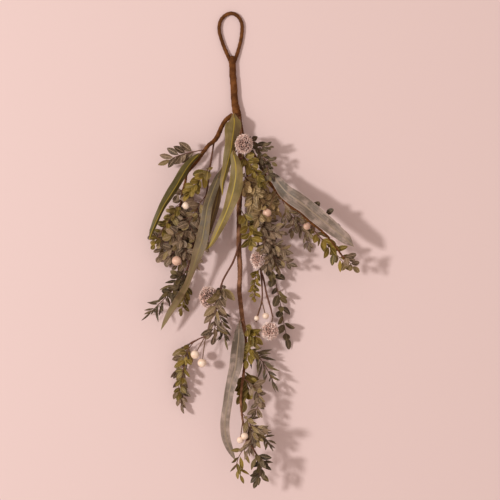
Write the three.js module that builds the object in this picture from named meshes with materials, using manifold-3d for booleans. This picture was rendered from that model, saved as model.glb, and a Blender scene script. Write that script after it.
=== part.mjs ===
// A hanging bunch of artificial mistletoe and eucalyptus, laid on its back.
// Millimetres. +Y runs along the bunch towards its hanging loop, +Z points up from the surface.
import * as THREE from "three";
import { mergeVertices } from "three/addons/utils/BufferGeometryUtils.js";
import Module from "manifold-3d";

const wasm = await Module();
wasm.setup();

// ---------------------------------------------------------------- driving dimensions
const GAP = 0.45; // between pieces that touch on the real bunch
const SMALL_BLADE = 1.2; // thickness of a sprig's leaf at its midrib
const RIBBON_BLADE = 1.7; // thickness of a long leaf at its midrib
const TWIG_START = 0.95; // radius of a sprig's twig where it leaves the branch
const TWIG_END = 0.6;
const TWIG_STEPS = 2; // stations of a twig in each span of its route
const STALK = 0.85; // radius of a berry's or flower head's stalk
const WIRE = 2.7; // radius of the taped wire of the loop
const HANDLE = [5.1, 5, 5.1, 5.5, 6, 6.4]; // radii of the bound handle, top to bottom
const MARGIN = 1.45; // half the room that each leaf keeps to other pieces
const RIBBON_ROOM = 1.5; // half the room that a long leaf takes
const FLOOR_ROOM = 0.3; // how close to the surface a leaf may come
const SUB_OPPOSITE = 0.09; // how far a pair's leaves stand apart, as a share of the spacing
const OFF_AXIS = 0.3; // how far from its twig's axis a leaf starts
const SNAP = 0.002; // the grid that every corner is rounded to
const REACH = 45; // pieces further than this from a leaf's root can't touch it

// ---------------------------------------------------------------- colours and finishes
const FINISHES = {
  bark: { color: 0x5a3b22, roughness: 0.85, metalness: 0 },
  redBark: { color: 0x69402f, roughness: 0.8, metalness: 0 },
  grey: { color: 0x6f7059, roughness: 0.7, metalness: 0 },
  dark: { color: 0x4d4f3a, roughness: 0.7, metalness: 0 },
  yellow: { color: 0x8a7d35, roughness: 0.65, metalness: 0 },
  olive: { color: 0x83835a, roughness: 0.6, metalness: 0 },
  sage: { color: 0x7f8676, roughness: 0.65, metalness: 0 },
  cream: { color: 0xefe2cf, roughness: 0.35, metalness: 0 },
  dusk: { color: 0xb39a92, roughness: 0.8, metalness: 0 },
};

// ---------------------------------------------------------------- routes of the stems
// The teardrop of the hanging loop, from where it leaves the handle round to there again.
const LOOP = [
  [-29, 279, 4], [-32, 287, 3.6], [-37, 298, 3], [-42, 311, 2.7], [-46.5, 328, 2.6],
  [-45, 342, 2.6], [-38, 351, 2.6], [-28.5, 354.5, 2.6], [-19, 350.5, 2.6], [-13, 341, 2.6],
  [-12, 329, 2.6], [-14, 313, 2.7], [-18, 298, 3], [-21.5, 287, 3.6], [-24, 279, 4],
];
const HANDLE_ROUTE = [
  [-26.5, 283, 4.6], [-26, 262, 4.7], [-25, 250, 4.8], [-23.5, 224, 5.2], [-21.5, 212, 5.6],
  [-20, 203, 6],
];

// Each branch: its route, and its radii spread evenly over the route.
const BRANCHES = {
  branch_left: {
    finish: "bark",
    radii: [3.7, 3.4, 3, 2.4, 1.9, 1.5],
    route: [
      [-26.5, 200.5, 6], [-39, 189, 12], [-51, 164, 18], [-64, 152, 20], [-81, 128, 22],
      [-95, 112, 22], [-97, 100, 21], [-102, 80, 18], [-105, 62, 15],
    ],
  },
  branch_left_inner: {
    finish: "redBark",
    radii: [1.5, 1.2],
    on: ["branch_left", 161],
    lift: -1,
    route: [
      [-57, 142, 14], [-60, 122, 16], [-66, 80, 17], [-79, 34, 17],
      [-89, -8, 17], [-95, -38, 18], [-96, -50, 19],
    ],
  },
  branch_centre: {
    finish: "bark",
    radii: [4, 4, 3.9, 3.7, 3.3, 2.6, 1.8, 1.5, 1.3, 1.1],
    route: [
      [-20, 202, 8], [-17.5, 188, 10.5], [-15, 150, 14], [-15, 101, 15], [-16.5, 50, 16],
      [-16.5, -4, 17], [-15, -34, 18], [-16, -64, 20], [-13, -94, 22], [-8, -130, 25],
      [-6, -154, 28], [-10, -191, 32], [-13.5, -221, 36], [-12, -251, 40], [-5, -284, 46],
      [3, -298, 49], [10, -310, 50], [12, -330, 50], [9, -345, 50],
    ],
  },
  branch_right: {
    finish: "bark",
    radii: [2.1, 1.9, 1.8, 1.2],
    route: [
      [-15.5, 202, 3.2], [-13.5, 186, 3.2], [-10, 170, 5], [-1, 153, 12], [11, 132, 19],
      [24, 108, 24], [37, 87, 27], [60, 62, 31], [75, 53, 34], [90, 38, 38], [112, 20, 43],
      [129, -1, 47], [142, -19, 49],
    ],
  },
  branch_middle: {
    finish: "redBark",
    radii: [1.7, 1.2],
    on: ["branch_centre", 160],
    lift: -1,
    route: [
      [-7, 124, 5.5], [1, 80, 7], [9, 34, 10], [13, -4, 14], [16, -34, 20],
      [18, -56, 25], [18, -79, 27], [13, -97, 27], [9, -112, 26],
    ],
    fork: [[16, -34, 20], [20.5, -48, 22], [25, -70, 24], [31, -91, 27], [34, -104, 29]],
  },
  branch_side: {
    finish: "redBark",
    radii: [1.7, 1.2],
    on: ["branch_centre", 6],
    route: [
      [-21, -10, 25], [-27, -25, 27], [-34, -37, 28], [-42, -53, 29], [-52, -86, 30],
      [-60, -112, 28], [-66, -131, 25], [-78, -138, 22], [-90, -145, 20],
    ],
  },
};

// ---------------------------------------------------------------- long ribbon leaves
// Each leaf: the branch and height that its stalk sits on, the stalk's way to the blade, the
// angle in degrees that its halves slope down from the midrib, and the blade's rows: x, y, z
// of the midrib, half width, and roll in degrees about the midrib.
const RIBBONS = {
  ribbon_left_outer: {
    finish: "olive",
    on: ["branch_left", 141],
    fold: 28,
    rows: [
      [-75, 141, 27, 1, 0], [-78.5, 138, 30, 3.5, -10], [-87, 129, 35, 6, -25],
      [-95, 118, 40, 7.5, -30], [-102, 106, 43, 8.5, -30], [-110, 92, 45, 9, -30],
      [-119, 78, 45, 8.5, -30], [-128, 64, 44, 7.5, -30], [-135, 50, 42, 6, -28],
      [-142, 35, 39, 5, -25], [-147.5, 22, 36, 3.5, -20], [-151, 11, 33, 0, 0],
    ],
  },
  ribbon_top: {
    finish: "olive",
    on: ["branch_left", 198],
    fold: 24,
    rows: [
      [-24, 202, 16, 1, 0], [-24, 195, 25, 6.5, 0], [-23.5, 187, 31, 13, -12],
      [-24.5, 176, 36, 14, -24], [-26.5, 161, 40, 11.5, -24], [-28.5, 146, 42, 10, -26],
      [-32, 131, 42, 8, -28], [-36, 116, 41, 6.5, -28], [-41, 96, 39, 4, -15],
      [-41, 77, 36, 0, 0],
    ],
  },
  ribbon_middle: {
    finish: "olive",
    on: ["branch_centre", 155],
    stalk: [[-18.5, 147, 30], [-21.5, 144, 39]],
    fold: 20,
    rows: [
      [-24.5, 145, 45.5, 1, 0], [-24.5, 138, 49, 5, 0], [-21.5, 124, 52, 8, 12],
      [-21, 109, 54, 10.5, 20], [-23, 94, 54, 11.5, 20], [-26.5, 78, 53, 11.5, 20],
      [-32.5, 60, 50, 9.5, 20], [-39.5, 43, 47, 7.5, 15], [-47.5, 26, 44, 6, 5],
      [-55, 11, 41, 4.5, 0], [-61, 2, 39, 3, 0], [-67, -4, 37, 0, 0],
    ],
  },
  ribbon_right: {
    finish: "sage",
    on: ["branch_right", 112],
    stalk: [[27, 113, 29]],
    rows: [
      [32, 113, 33, 1, 0], [38, 103, 38, 7, 10], [46, 92, 43, 9.5, 14],
      [55, 82, 47, 11, 14], [67, 73, 52, 12, 5], [81, 63, 53, 12, -6], [95, 51, 56, 12, -10],
      [112, 37.5, 58, 11.5, 2], [124, 28, 57, 10.5, 14], [134, 20, 58, 9.5, 18],
      [144, 11.5, 58, 7.5, 8], [154.5, 1, 55, 0, 0],
    ],
  },
  ribbon_low: {
    finish: "sage",
    on: ["branch_centre", -104],
    rows: [
      [-15, -110, 28, 1, 0], [-16.5, -122, 33, 5, 0], [-17, -136, 37, 8.5, -5],
      [-18.5, -150, 41, 10, -8], [-20, -165, 43, 10, -5], [-22, -180, 45, 9.5, 0],
      [-26, -195, 46, 8.5, 5], [-30, -212, 46, 7.5, 10], [-33, -230, 45, 7, 10],
      [-36, -248, 43, 7, 6], [-37.5, -266, 41, 7, 0], [-35.5, -286, 39, 6.5, 0],
      [-29, -304, 38, 4.5, 0], [-21, -320, 38, 0, 0],
    ],
  },
  ribbon_left_inner: {
    finish: "sage",
    on: ["branch_centre", 136],
    stalk: [[-24, 131, 24], [-34, 125, 28]],
    rows: [
      [-42, 118, 28.5, 1, 0], [-48, 104, 31, 5, 0], [-56, 84, 35, 6.5, 0],
      [-63, 62, 38, 7, 5], [-67, 38, 40, 8, 10], [-71, 14, 41, 9, 10],
      [-77, -6, 41, 8.5, 5], [-83, -24, 40, 6, -5], [-90, -43, 39, 4.5, -25],
      [-97, -59, 38, 5, -30], [-106, -74, 36, 5.5, -20], [-113, -86, 34, 5, -10],
      [-121, -98, 32, 4.5, 0], [-128, -112, 30, 3, 0], [-134, -124.5, 28, 0, 0],
    ],
  },
  ribbon_behind: {
    finish: "olive",
    on: ["branch_centre", 149],
    stalk: [[-22, 143, 19.5], [-31, 135, 21.5]],
    rows: [
      [-37, 128, 23, 1, 0], [-42, 112, 23.5, 4.5, 0], [-46, 92, 25, 6, 8],
      [-50, 70, 26, 6, 0], [-56, 46, 27, 5, -5], [-62, 24, 27, 3.5, 0],
      [-66, 8, 26, 0, 0],
    ],
  },
};

// ---------------------------------------------------------------- flower heads and berries
// Each head: its centre, its half sizes, the branch and height that its stalk sits on, and
// the stalk's way to the head.
const HEADS = {
  head_top: {
    centre: [-9, 154, 47], size: [12.5, 14.5, 12.5],
    on: ["branch_centre", 168], stalk: [[-11, 163, 27]],
  },
  head_left: {
    centre: [-61.5, -75, 42], size: [14, 17, 13],
    on: ["branch_side", -72], stalk: [[-52, -76, 36]],
  },
  head_middle: {
    centre: [12.5, -17, 32], size: [11, 14.5, 11],
    on: ["branch_middle", -12], stalk: [[13, -14, 22]],
  },
  head_low: { centre: [29, -125, 36], size: [13, 13, 13], stalk: [[34.2, -104.9, 29.1]] },
};

// Each bunch of berries: the branch and height that its stalks sit on, and centre and radius
// of every berry.
const BERRIES = {
  berry_left_upper: { on: ["branch_left", 74], berries: [[-96, 63, 27, 5.8]] },
  berry_left_lower: { on: ["branch_left_inner", -8], berries: [[-110, -20, 27, 7.3]] },
  berry_crown: { on: ["branch_right", 84], berries: [[25.5, 52, 34, 6.6]] },
  berry_right: { on: ["branch_right", 50], lift: -1, berries: [[85.5, 32, 24, 5.4]] },
  berries_middle: {
    on: ["branch_middle", -80], berries: [[23.5, -102.5, 33, 4.9], [10, -106, 33, 4]],
  },
  berries_side: {
    on: ["branch_side", -131],
    berries: [[-82.5, -160.5, 30, 6.5], [-72, -173, 30, 6.7]],
  },
  berries_low: {
    on: ["branch_centre", -260],
    berries: [[-8, -280.5, 56, 5.4], [-14.5, -287, 49.5, 5.2]],
  },
};

// ---------------------------------------------------------------- leafy sprigs
// Sizes of each kind of leaf, and how wide it spreads from its twig in degrees.
const LEAF_KINDS = {
  round: { length: 16.5, width: 10.5, spread: 52, broadest: [0.95, 0.85] },
  oval: { length: 20.5, width: 9.5, spread: 45, broadest: [0.95, 0.8] },
  long: { length: 26, width: 8, spread: 34, broadest: [0.95, 0.75] },
  broad: { length: 20.5, width: 13, spread: 50, broadest: [0.9, 0.9] },
  small: { length: 15.5, width: 8, spread: 48, broadest: [0.95, 0.85] },
  narrow: { length: 24, width: 5, spread: 34, broadest: [0.95, 0.75] },
};

// Each sprig: where its twig sits on a branch (the branch's name and the height along Y),
// its route from there, its pairs of leaves, and the seed of its random draws.
const SPRIGS = {
  sprig_upper_left: {
    finish: "grey", leaf: "oval", on: ["branch_left", 147], pairs: 4, size: 1.2, seed: 11,
    route: [[-88, 143, 29], [-106, 138, 33], [-119, 132, 34]],
  },
  sprig_left_yellow: {
    finish: "yellow", leaf: "broad", on: ["branch_left_inner", 126], pairs: 5, size: 0.92,
    seed: 12,
    route: [[-64, 116, 27], [-73, 104, 31], [-84, 92, 33], [-92, 80, 34]],
  },
  sprig_left_back: {
    finish: "grey", leaf: "round", on: ["branch_left", 104], lift: -1, pairs: 6, seed: 13,
    route: [[-98, 90, 12], [-105, 68, 9], [-114, 46, 6.5], [-124, 28, 5], [-132, 12, 4.5]],
  },
  sprig_left_middle: {
    finish: "grey", leaf: "round", on: ["branch_left_inner", 78], pairs: 6, size: 1.15,
    seed: 14,
    route: [[-74, 68, 24], [-86, 48, 26], [-97, 26, 27], [-108, 4, 26], [-120, -16, 22]],
  },
  sprig_left_low: {
    finish: "grey", leaf: "round", on: ["branch_left_inner", 70], lift: -1, pairs: 6,
    size: 1.1, seed: 15,
    route: [[-66, 56, 10], [-74, 34, 7], [-82, 12, 5], [-92, -10, 5], [-101, -30, 6]],
  },
  sprig_left_front: {
    finish: "yellow", leaf: "broad", on: ["branch_left", 70], pairs: 5, size: 0.72, seed: 16,
    route: [[-110, 56, 22], [-122, 40, 25], [-134, 22, 25], [-144, 4, 22]],
  },
  sprig_left_outer: {
    finish: "grey", leaf: "round", on: ["branch_left", 64], pairs: 5, size: 1.1, seed: 17,
    route: [[-108, 50, 15], [-116, 30, 14], [-126, 8, 13], [-136, -14, 12]],
  },
  sprig_left_narrow: {
    finish: "dark", leaf: "narrow", on: ["branch_left_inner", -42], pairs: 7, seed: 18,
    route: [
      [-106, -48, 25], [-118, -60, 26], [-128, -76, 25], [-138, -86, 24], [-148, -96, 23],
    ],
  },
  sprig_left_tail: {
    finish: "yellow", leaf: "small", on: ["branch_left_inner", -46], lift: -1, pairs: 4,
    seed: 19,
    route: [[-97, -62, 12], [-99, -78, 10], [-103, -94, 9]],
  },
  sprig_left_dark: {
    finish: "dark", leaf: "round", on: ["branch_left_inner", -28], pairs: 4, seed: 20,
    route: [[-99, -42, 30], [-106, -56, 31], [-111, -70, 29]],
  },
  sprig_crown_dark: {
    finish: "dark", leaf: "small", on: ["branch_right", 172], pairs: 6, seed: 21,
    route: [[4, 160, 24], [14, 144, 29], [23, 128, 33], [28, 115, 36]],
  },
  sprig_crown_yellow: {
    finish: "yellow", leaf: "broad", on: ["branch_centre", 142], pairs: 6, size: 0.8,
    seed: 22,
    route: [[-8, 134, 32], [2, 122, 37], [12, 108, 38], [19, 96, 38]],
  },
  sprig_crown_grey: {
    finish: "grey", leaf: "round", on: ["branch_centre", 118], pairs: 6, size: 1.15,
    seed: 23,
    route: [[-6, 104, 26], [6, 86, 29], [18, 66, 28], [26, 48, 26]],
  },
  sprig_crown_back: {
    finish: "grey", leaf: "round", on: ["branch_middle", 108], pairs: 5, seed: 24,
    route: [[2, 98, 15], [14, 86, 15], [28, 70, 14], [40, 56, 13]],
  },
  sprig_centre_yellow: {
    finish: "yellow", leaf: "broad", on: ["branch_centre", 62], pairs: 5, size: 0.98,
    seed: 25,
    route: [[-10, 50, 34], [-3, 36, 38], [0, 20, 39], [1, 6, 37]],
  },
  sprig_column: {
    finish: "grey", leaf: "oval", on: ["branch_middle", 66], pairs: 6, size: 0.98, seed: 26,
    route: [[14, 56, 16], [26, 36, 18], [34, 4, 18], [38, -28, 16]],
  },
  sprig_column_low: {
    finish: "dark", leaf: "round", on: ["branch_middle", -8], pairs: 5, size: 1.3, seed: 45,
    route: [[24, -18, 22], [36, -44, 17], [44, -76, 13], [50, -108, 9], [56, -138, 7]],
  },
  sprig_column_front: {
    finish: "grey", leaf: "oval", on: ["branch_middle", 40], pairs: 5, size: 0.95, seed: 27,
    route: [[18, 30, 24], [28, 14, 29], [34, -8, 31], [42, -34, 30]],
  },
  sprig_middle_yellow: {
    finish: "yellow", leaf: "small", on: ["branch_middle", -30], pairs: 6, size: 0.8,
    seed: 28,
    route: [[10, -40, 26], [7, -56, 28], [7, -76, 27]],
  },
  sprig_right_under: {
    finish: "grey", leaf: "oval", on: ["branch_right", 76], lift: -1, pairs: 6, size: 0.85,
    seed: 29,
    route: [[54, 60, 18], [66, 44, 12], [78, 30, 8], [92, 20, 6]],
  },
  sprig_right_upper: {
    finish: "dark", leaf: "round", on: ["branch_right", 56], pairs: 2, seed: 30,
    route: [[86, 58, 40], [100, 56, 43], [118, 46, 45], [128, 36, 46]],
  },
  sprig_right_yellow: {
    finish: "yellow", leaf: "oval", on: ["branch_right", 38], lift: -1, pairs: 5,
    size: 1.08, seed: 31,
    route: [[99, 22, 34], [114, 6, 38], [128, -9, 41], [142, -25, 43]],
  },
  sprig_right_tip: {
    finish: "grey", leaf: "round", on: ["branch_right", -14], pairs: 3, seed: 46,
    route: [[142, -14, 54], [148, -22, 54], [152, -28, 53]],
  },
  sprig_side_grey: {
    finish: "grey", leaf: "oval", on: ["branch_side", -50], pairs: 7, size: 1.2, seed: 33,
    route: [[-43, -62, 45], [-48, -80, 54], [-51, -104, 48], [-54, -132, 37]],
  },
  sprig_side_narrow: {
    finish: "dark", leaf: "narrow", on: ["branch_side", -84], lift: -1, pairs: 5, seed: 34,
    route: [[-46, -100, 20], [-42, -118, 18], [-38, -136, 17]],
  },
  sprig_lower_left: {
    finish: "grey", leaf: "oval", on: ["branch_side", -138], lift: -1, pairs: 6, size: 1.08,
    seed: 35,
    route: [
      [-92, -146, 14], [-104, -168, 11], [-109, -196, 7], [-107, -220, 5], [-104, -236, 5],
    ],
  },
  sprig_lower_left_yellow: {
    finish: "yellow", leaf: "small", on: ["branch_side", -142], pairs: 5, size: 1.1, seed: 36,
    route: [[-94, -156, 24], [-99, -178, 24], [-104, -202, 21], [-107, -220, 18]],
  },
  sprig_lower_yellow: {
    finish: "yellow", leaf: "oval", on: ["branch_centre", -112], pairs: 6, size: 1.12,
    seed: 37,
    route: [[-4, -122, 31], [3, -134, 34], [0, -152, 36], [-6, -168, 38]],
  },
  sprig_lower_narrow: {
    finish: "dark", leaf: "narrow", on: ["branch_centre", -150], lift: -1, pairs: 7,
    seed: 38,
    route: [[4, -158, 22], [16, -168, 22], [26, -184, 22], [36, -204, 22]],
  },
  sprig_lower_broad: {
    finish: "yellow", leaf: "broad", on: ["branch_centre", -182], lift: -1, pairs: 4,
    size: 1.2, seed: 39,
    route: [[-8, -194, 24], [-4, -208, 23], [-8, -230, 24]],
  },
  sprig_lower_grey: {
    finish: "grey", leaf: "oval", on: ["branch_centre", -196], pairs: 5, size: 0.92,
    seed: 48,
    route: [[4, -206, 40], [12, -218, 41], [13, -234, 41], [7, -247, 44]],
  },
  sprig_bottom_grey: {
    finish: "grey", leaf: "long", on: ["branch_centre", -246], pairs: 4, size: 0.95,
    seed: 41,
    route: [[-3, -258, 47], [4, -272, 49], [9, -288, 56]],
  },
  sprig_bottom_narrow: {
    finish: "dark", leaf: "narrow", on: ["branch_centre", -262], lift: -1, pairs: 6,
    size: 0.9, seed: 47,
    route: [[1, -270, 37], [11, -276, 36], [21, -284, 35], [30, -294, 34]],
  },
  sprig_bottom_yellow: {
    finish: "yellow", leaf: "long", on: ["branch_centre", -284], pairs: 4, size: 0.85,
    seed: 43,
    route: [[-9, -298, 54], [-17, -312, 56], [-20, -326, 55], [-15, -338, 53]],
  },
  sprig_bottom_tip: {
    finish: "dark", leaf: "oval", on: ["branch_centre", -302], pairs: 5, size: 1.02, seed: 44,
    route: [[13, -312, 56], [16, -326, 57], [11, -343, 55]],
  },
};

// ---------------------------------------------------------------- solids from rings
const skyward = new THREE.Vector3(0, 0, 1);

function curveThrough(points) {
  const places = points.map(([x, y, z]) => new THREE.Vector3(x, y, z));
  return new THREE.CatmullRomCurve3(places, false, "catmullrom", 0.5);
}

// The directions to the side of a tangent and up from it, both square to it.
function crossAxes(tangent) {
  const side = new THREE.Vector3().crossVectors(tangent, skyward).normalize();
  const up = new THREE.Vector3().crossVectors(side, tangent);
  return { side, up };
}

// One closed skin over rings with the same number of corners. An end is a point where one is
// given, and a flat cap where it isn't. Edge-to-ridge diagonals match on both faces of a blade.
function skinOver(rings, startPoint, endPoint) {
  const corners = rings[0].length;
  const vertices = rings.flat();
  const faces = [];
  for (let i = 0; i + 1 < rings.length; i += 1) {
    for (let k = 0; k < corners; k += 1) {
      const a = i * corners + k;
      const b = i * corners + ((k + 1) % corners);
      const c = b + corners;
      const d = a + corners;
      if (k % 2 === 0) faces.push([a, d, c], [a, c, b]);
      else faces.push([a, d, b], [b, d, c]);
    }
  }
  closeEnd(vertices, faces, 0, corners, startPoint, false);
  closeEnd(vertices, faces, (rings.length - 1) * corners, corners, endPoint, true);
  const positions = new Float32Array(vertices.flatMap((v) => [v.x, v.y, v.z]));
  return solidFrom(positions, new Uint32Array(faces.flat()));
}

function closeEnd(vertices, faces, first, corners, point, reversed) {
  const ring = Array.from({ length: corners }, (_, k) => first + k);
  if (reversed) ring.reverse();
  if (point) {
    vertices.push(point);
    const tip = vertices.length - 1;
    ring.forEach((v, k) => faces.push([tip, v, ring[(k + 1) % corners]]));
    return;
  }
  for (let k = 1; k + 1 < corners; k += 1) faces.push([ring[0], ring[k], ring[k + 1]]);
}

function solidFrom(vertProperties, triVerts) {
  return new wasm.Manifold(new wasm.Mesh({ numProp: 3, vertProperties, triVerts }));
}

function solidOfGeometry(geometry) {
  geometry.deleteAttribute("normal");
  geometry.deleteAttribute("uv");
  const merged = mergeVertices(geometry);
  return solidFrom(merged.attributes.position.array, new Uint32Array(merged.index.array));
}

function joinAll(solids) {
  return solids.reduce((joined, solid) => joined.add(solid));
}

// The solid's faces with their corners on a fine grid, where slivers left by a join close up.
function geometryOf(solid) {
  const { vertProperties, triVerts } = solid.getMesh();
  const snapped = vertProperties.map((value) => Math.round(value / SNAP) * SNAP);
  const geometry = new THREE.BufferGeometry();
  geometry.setAttribute("position", new THREE.BufferAttribute(snapped, 3));
  geometry.setIndex(new THREE.BufferAttribute(triVerts, 1));
  const merged = mergeVertices(geometry, SNAP / 2);
  const kept = [];
  for (let i = 0; i < merged.index.count; i += 3) {
    const [a, b, c] = merged.index.array.slice(i, i + 3);
    if (a !== b && b !== c && c !== a) kept.push(a, b, c);
  }
  merged.setIndex(kept);
  return merged;
}

// A point on a twig's axis, which runs straight between the stations of its rod.
function pointOnTwig(curve, u) {
  const stations = (curve.points.length - 1) * TWIG_STEPS;
  const before = Math.min(Math.floor(u * stations), stations - 1);
  const start = curve.getPoint(before / stations);
  return start.lerp(curve.getPoint((before + 1) / stations), u * stations - before);
}

// A round rod along a route, with its radii spread evenly over the route's spans.
function rod(route, radii, corners, stepsPerSpan) {
  const curve = curveThrough(route);
  const steps = (route.length - 1) * stepsPerSpan;
  const rings = [];
  for (let i = 0; i <= steps; i += 1) {
    const u = i / steps;
    const centre = curve.getPoint(u);
    const { side, up } = crossAxes(curve.getTangent(u));
    const radius = valueAlong(radii, u);
    const ring = [];
    for (let k = 0; k < corners; k += 1) {
      const turn = (2 * Math.PI * (k + 0.5)) / corners;
      ring.push(
        centre.clone()
          .addScaledVector(side, radius * Math.cos(turn))
          .addScaledVector(up, radius * Math.sin(turn)),
      );
    }
    rings.push(ring);
  }
  return skinOver(rings);
}

function valueAlong(values, u) {
  const place = u * (values.length - 1);
  const before = Math.min(Math.floor(place), values.length - 2);
  return THREE.MathUtils.lerp(values[before], values[before + 1], place - before);
}

// A stem's route. One that starts on a branch leaves it a small gap away, then goes its own way.
function stemRoute({ on, lift = 1, route, radii: [radius] = [TWIG_START] }) {
  if (!on) return route;
  const [branch, height] = on;
  const { radii } = BRANCHES[branch];
  const curve = curveThrough(stemRoute(BRANCHES[branch]));
  let nearest = 0;
  for (let u = 0; u <= 1; u += 0.005) {
    const here = Math.abs(curve.getPoint(u).y - height);
    if (here < Math.abs(curve.getPoint(nearest).y - height)) nearest = u;
  }
  const root = curve.getPoint(nearest);
  const { up } = crossAxes(curve.getTangent(nearest));
  root.addScaledVector(up, lift * (valueAlong(radii, nearest) + radius + GAP));
  return [[root.x, root.y, root.z], ...route];
}

// ---------------------------------------------------------------- room between the pieces
// Points that the finished pieces fill, each with the radius it fills and whose it is.
const taken = [];

function take(owner, centre, radius, isTwig = false) {
  taken.push({ owner, x: centre.x, y: centre.y, z: centre.z, radius, isTwig });
}

function takeRoute(owner, route, radii, isTwig) {
  const curve = curveThrough(route);
  const steps = Math.ceil(curve.getLength() / 2.5);
  for (let i = 0; i <= steps; i += 1) {
    take(owner, curve.getPoint(i / steps), valueAlong(radii, i / steps), isTwig);
  }
}

// The face of a blade, whose rings each start with one edge, the midrib and the other edge.
function takeBlade(owner, rings) {
  for (let i = 0; i + 1 < rings.length; i += 1) {
    for (let along = 0; along < 1; along += 0.2) {
      const [right, midrib, left] = [0, 1, 2].map((k) =>
        rings[i][k].clone().lerp(rings[i + 1][k], along));
      for (const across of [0, 1 / 3, 2 / 3]) {
        take(owner, right.clone().lerp(midrib, across), RIBBON_ROOM);
        take(owner, left.clone().lerp(midrib, across), RIBBON_ROOM);
      }
      take(owner, midrib, RIBBON_ROOM);
    }
  }
}

// Whether a leaf's points stay off the surface, off other pieces and off its sprig's leaves.
function hasRoom(owner, root, points) {
  if (points.some((p) => p.z < FLOOR_ROOM)) return false;
  return taken.every((t) => {
    const near = (t.x - root.x) ** 2 + (t.y - root.y) ** 2 + (t.z - root.z) ** 2;
    if (near > (REACH + t.radius) ** 2 || (t.owner === owner && t.isTwig)) return true;
    const room = t.owner === owner ? MARGIN : MARGIN + t.radius + GAP;
    return points.every((p) => (t.x - p.x) ** 2 + (t.y - p.y) ** 2 + (t.z - p.z) ** 2 > room ** 2);
  });
}

// ---------------------------------------------------------------- the pieces
const bunch = new THREE.Group();

function addPiece(name, solid, finish) {
  const mesh = new THREE.Mesh(geometryOf(solid), new THREE.MeshStandardMaterial(FINISHES[finish]));
  mesh.name = name;
  bunch.add(mesh);
}

function makeHangingLoop() {
  const loop = rod(LOOP, [WIRE, WIRE], 8, 1);
  const handle = rod(HANDLE_ROUTE, HANDLE, 12, 1);
  const below = solidOfGeometry(new THREE.BoxGeometry(200, 400, 20).translate(0, 250, -10));
  addPiece("hanging_loop", loop.add(handle).subtract(below), "bark");
  takeRoute("hanging_loop", LOOP, [WIRE, WIRE]);
  takeRoute("hanging_loop", HANDLE_ROUTE, HANDLE);
}

function makeBranch(name, branch) {
  const { radii, finish, fork } = branch;
  const route = stemRoute(branch);
  const rods = [rod(route, radii, 6, 1)];
  takeRoute(name, route, radii);
  if (fork) {
    rods.push(rod(fork, radii, 5, 1));
    takeRoute(name, fork, radii);
  }
  addPiece(name, joinAll(rods), finish);
}

// A ribbon leaf is thick at its midrib and sharp at its edges. Its halves rise a little to the
// edges or are folded down. Its stalk runs on into the blade as far as the second row.
function makeRibbon(name, { rows, finish, on, stalk = [], fold = -7 }) {
  const curve = curveThrough(rows);
  const rings = rows.slice(0, -1).map(([x, y, z, halfWidth, roll], i) => {
    const centre = new THREE.Vector3(x, y, z);
    const tangent = curve.getTangent(i / (rows.length - 1));
    const { side, up } = crossAxes(tangent);
    side.applyAxisAngle(tangent, THREE.MathUtils.degToRad(roll));
    up.applyAxisAngle(tangent, THREE.MathUtils.degToRad(roll));
    const slope = i === 0 ? 0 : THREE.MathUtils.degToRad(fold);
    const edge = (way) =>
      centre.clone()
        .addScaledVector(side, way * halfWidth * Math.cos(slope))
        .addScaledVector(up, -halfWidth * Math.sin(slope));
    return [
      edge(1),
      centre.clone().addScaledVector(up, RIBBON_BLADE / 2),
      edge(-1),
      centre.clone().addScaledVector(up, -RIBBON_BLADE / 2),
    ];
  });
  const tip = new THREE.Vector3(...rows.at(-1).slice(0, 3));
  takeBlade(name, [...rings, [tip, tip, tip]]);
  const inBlade = rows.slice(0, 2).map((row) => row.slice(0, 3));
  const route = stemRoute({ on, route: [...stalk, ...inBlade], radii: [STALK] });
  takeRoute(name, route, [STALK, STALK]);
  const stem = rod(route, [STALK, STALK], 4, 1);
  addPiece(name, skinOver(rings, null, tip).add(stem), finish);
}

// A dense head of curled florets, raised from an ellipsoid where each floret stands.
function makeHead(name, { centre, size, on, stalk }) {
  const florets = 28;
  const golden = Math.PI * (3 - Math.sqrt(5));
  const axes = Array.from({ length: florets }, (_, i) => {
    const height = 1 - (2 * i + 1) / florets;
    const ring = Math.sqrt(1 - height * height);
    return new THREE.Vector3(ring * Math.cos(i * golden), ring * Math.sin(i * golden), height);
  });
  const ball = new THREE.IcosahedronGeometry(1, 3);
  const places = ball.attributes.position;
  const place = new THREE.Vector3();
  for (let i = 0; i < places.count; i += 1) {
    place.fromBufferAttribute(places, i);
    const nearest = Math.max(...axes.map((axis) => axis.dot(place)));
    const raised = 0.74 + 0.26 * THREE.MathUtils.smoothstep(nearest, 0.93, 0.985);
    place.multiplyScalar(raised).multiply(new THREE.Vector3(...size));
    places.setXYZ(i, place.x, place.y, place.z);
  }
  ball.translate(...centre);
  const route = stemRoute({ on, route: [...stalk, centre], radii: [STALK] });
  addPiece(name, solidOfGeometry(ball).add(rod(route, [STALK, STALK], 4, 1)), "dusk");
  take(name, new THREE.Vector3(...centre), Math.max(...size) - 1);
  takeRoute(name, route, [STALK, STALK]);
}

// Berries whose stalks share one start.
function makeBerries(name, { on, lift, berries }) {
  const [root] = stemRoute({ on, lift, route: [], radii: [STALK] });
  const solids = berries.flatMap(([x, y, z, radius]) => {
    const middle = [(root[0] + x) / 2, (root[1] + y) / 2, (root[2] + z) / 2 + 1];
    const route = [root, middle, [x, y, z]];
    const ball = new THREE.IcosahedronGeometry(radius, 1).translate(x, y, z);
    take(name, new THREE.Vector3(x, y, z), radius);
    takeRoute(name, route, [STALK, STALK]);
    return [rod(route, [STALK, STALK], 3, 1), solidOfGeometry(ball)];
  });
  addPiece(name, joinAll(solids), "cream");
}

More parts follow.
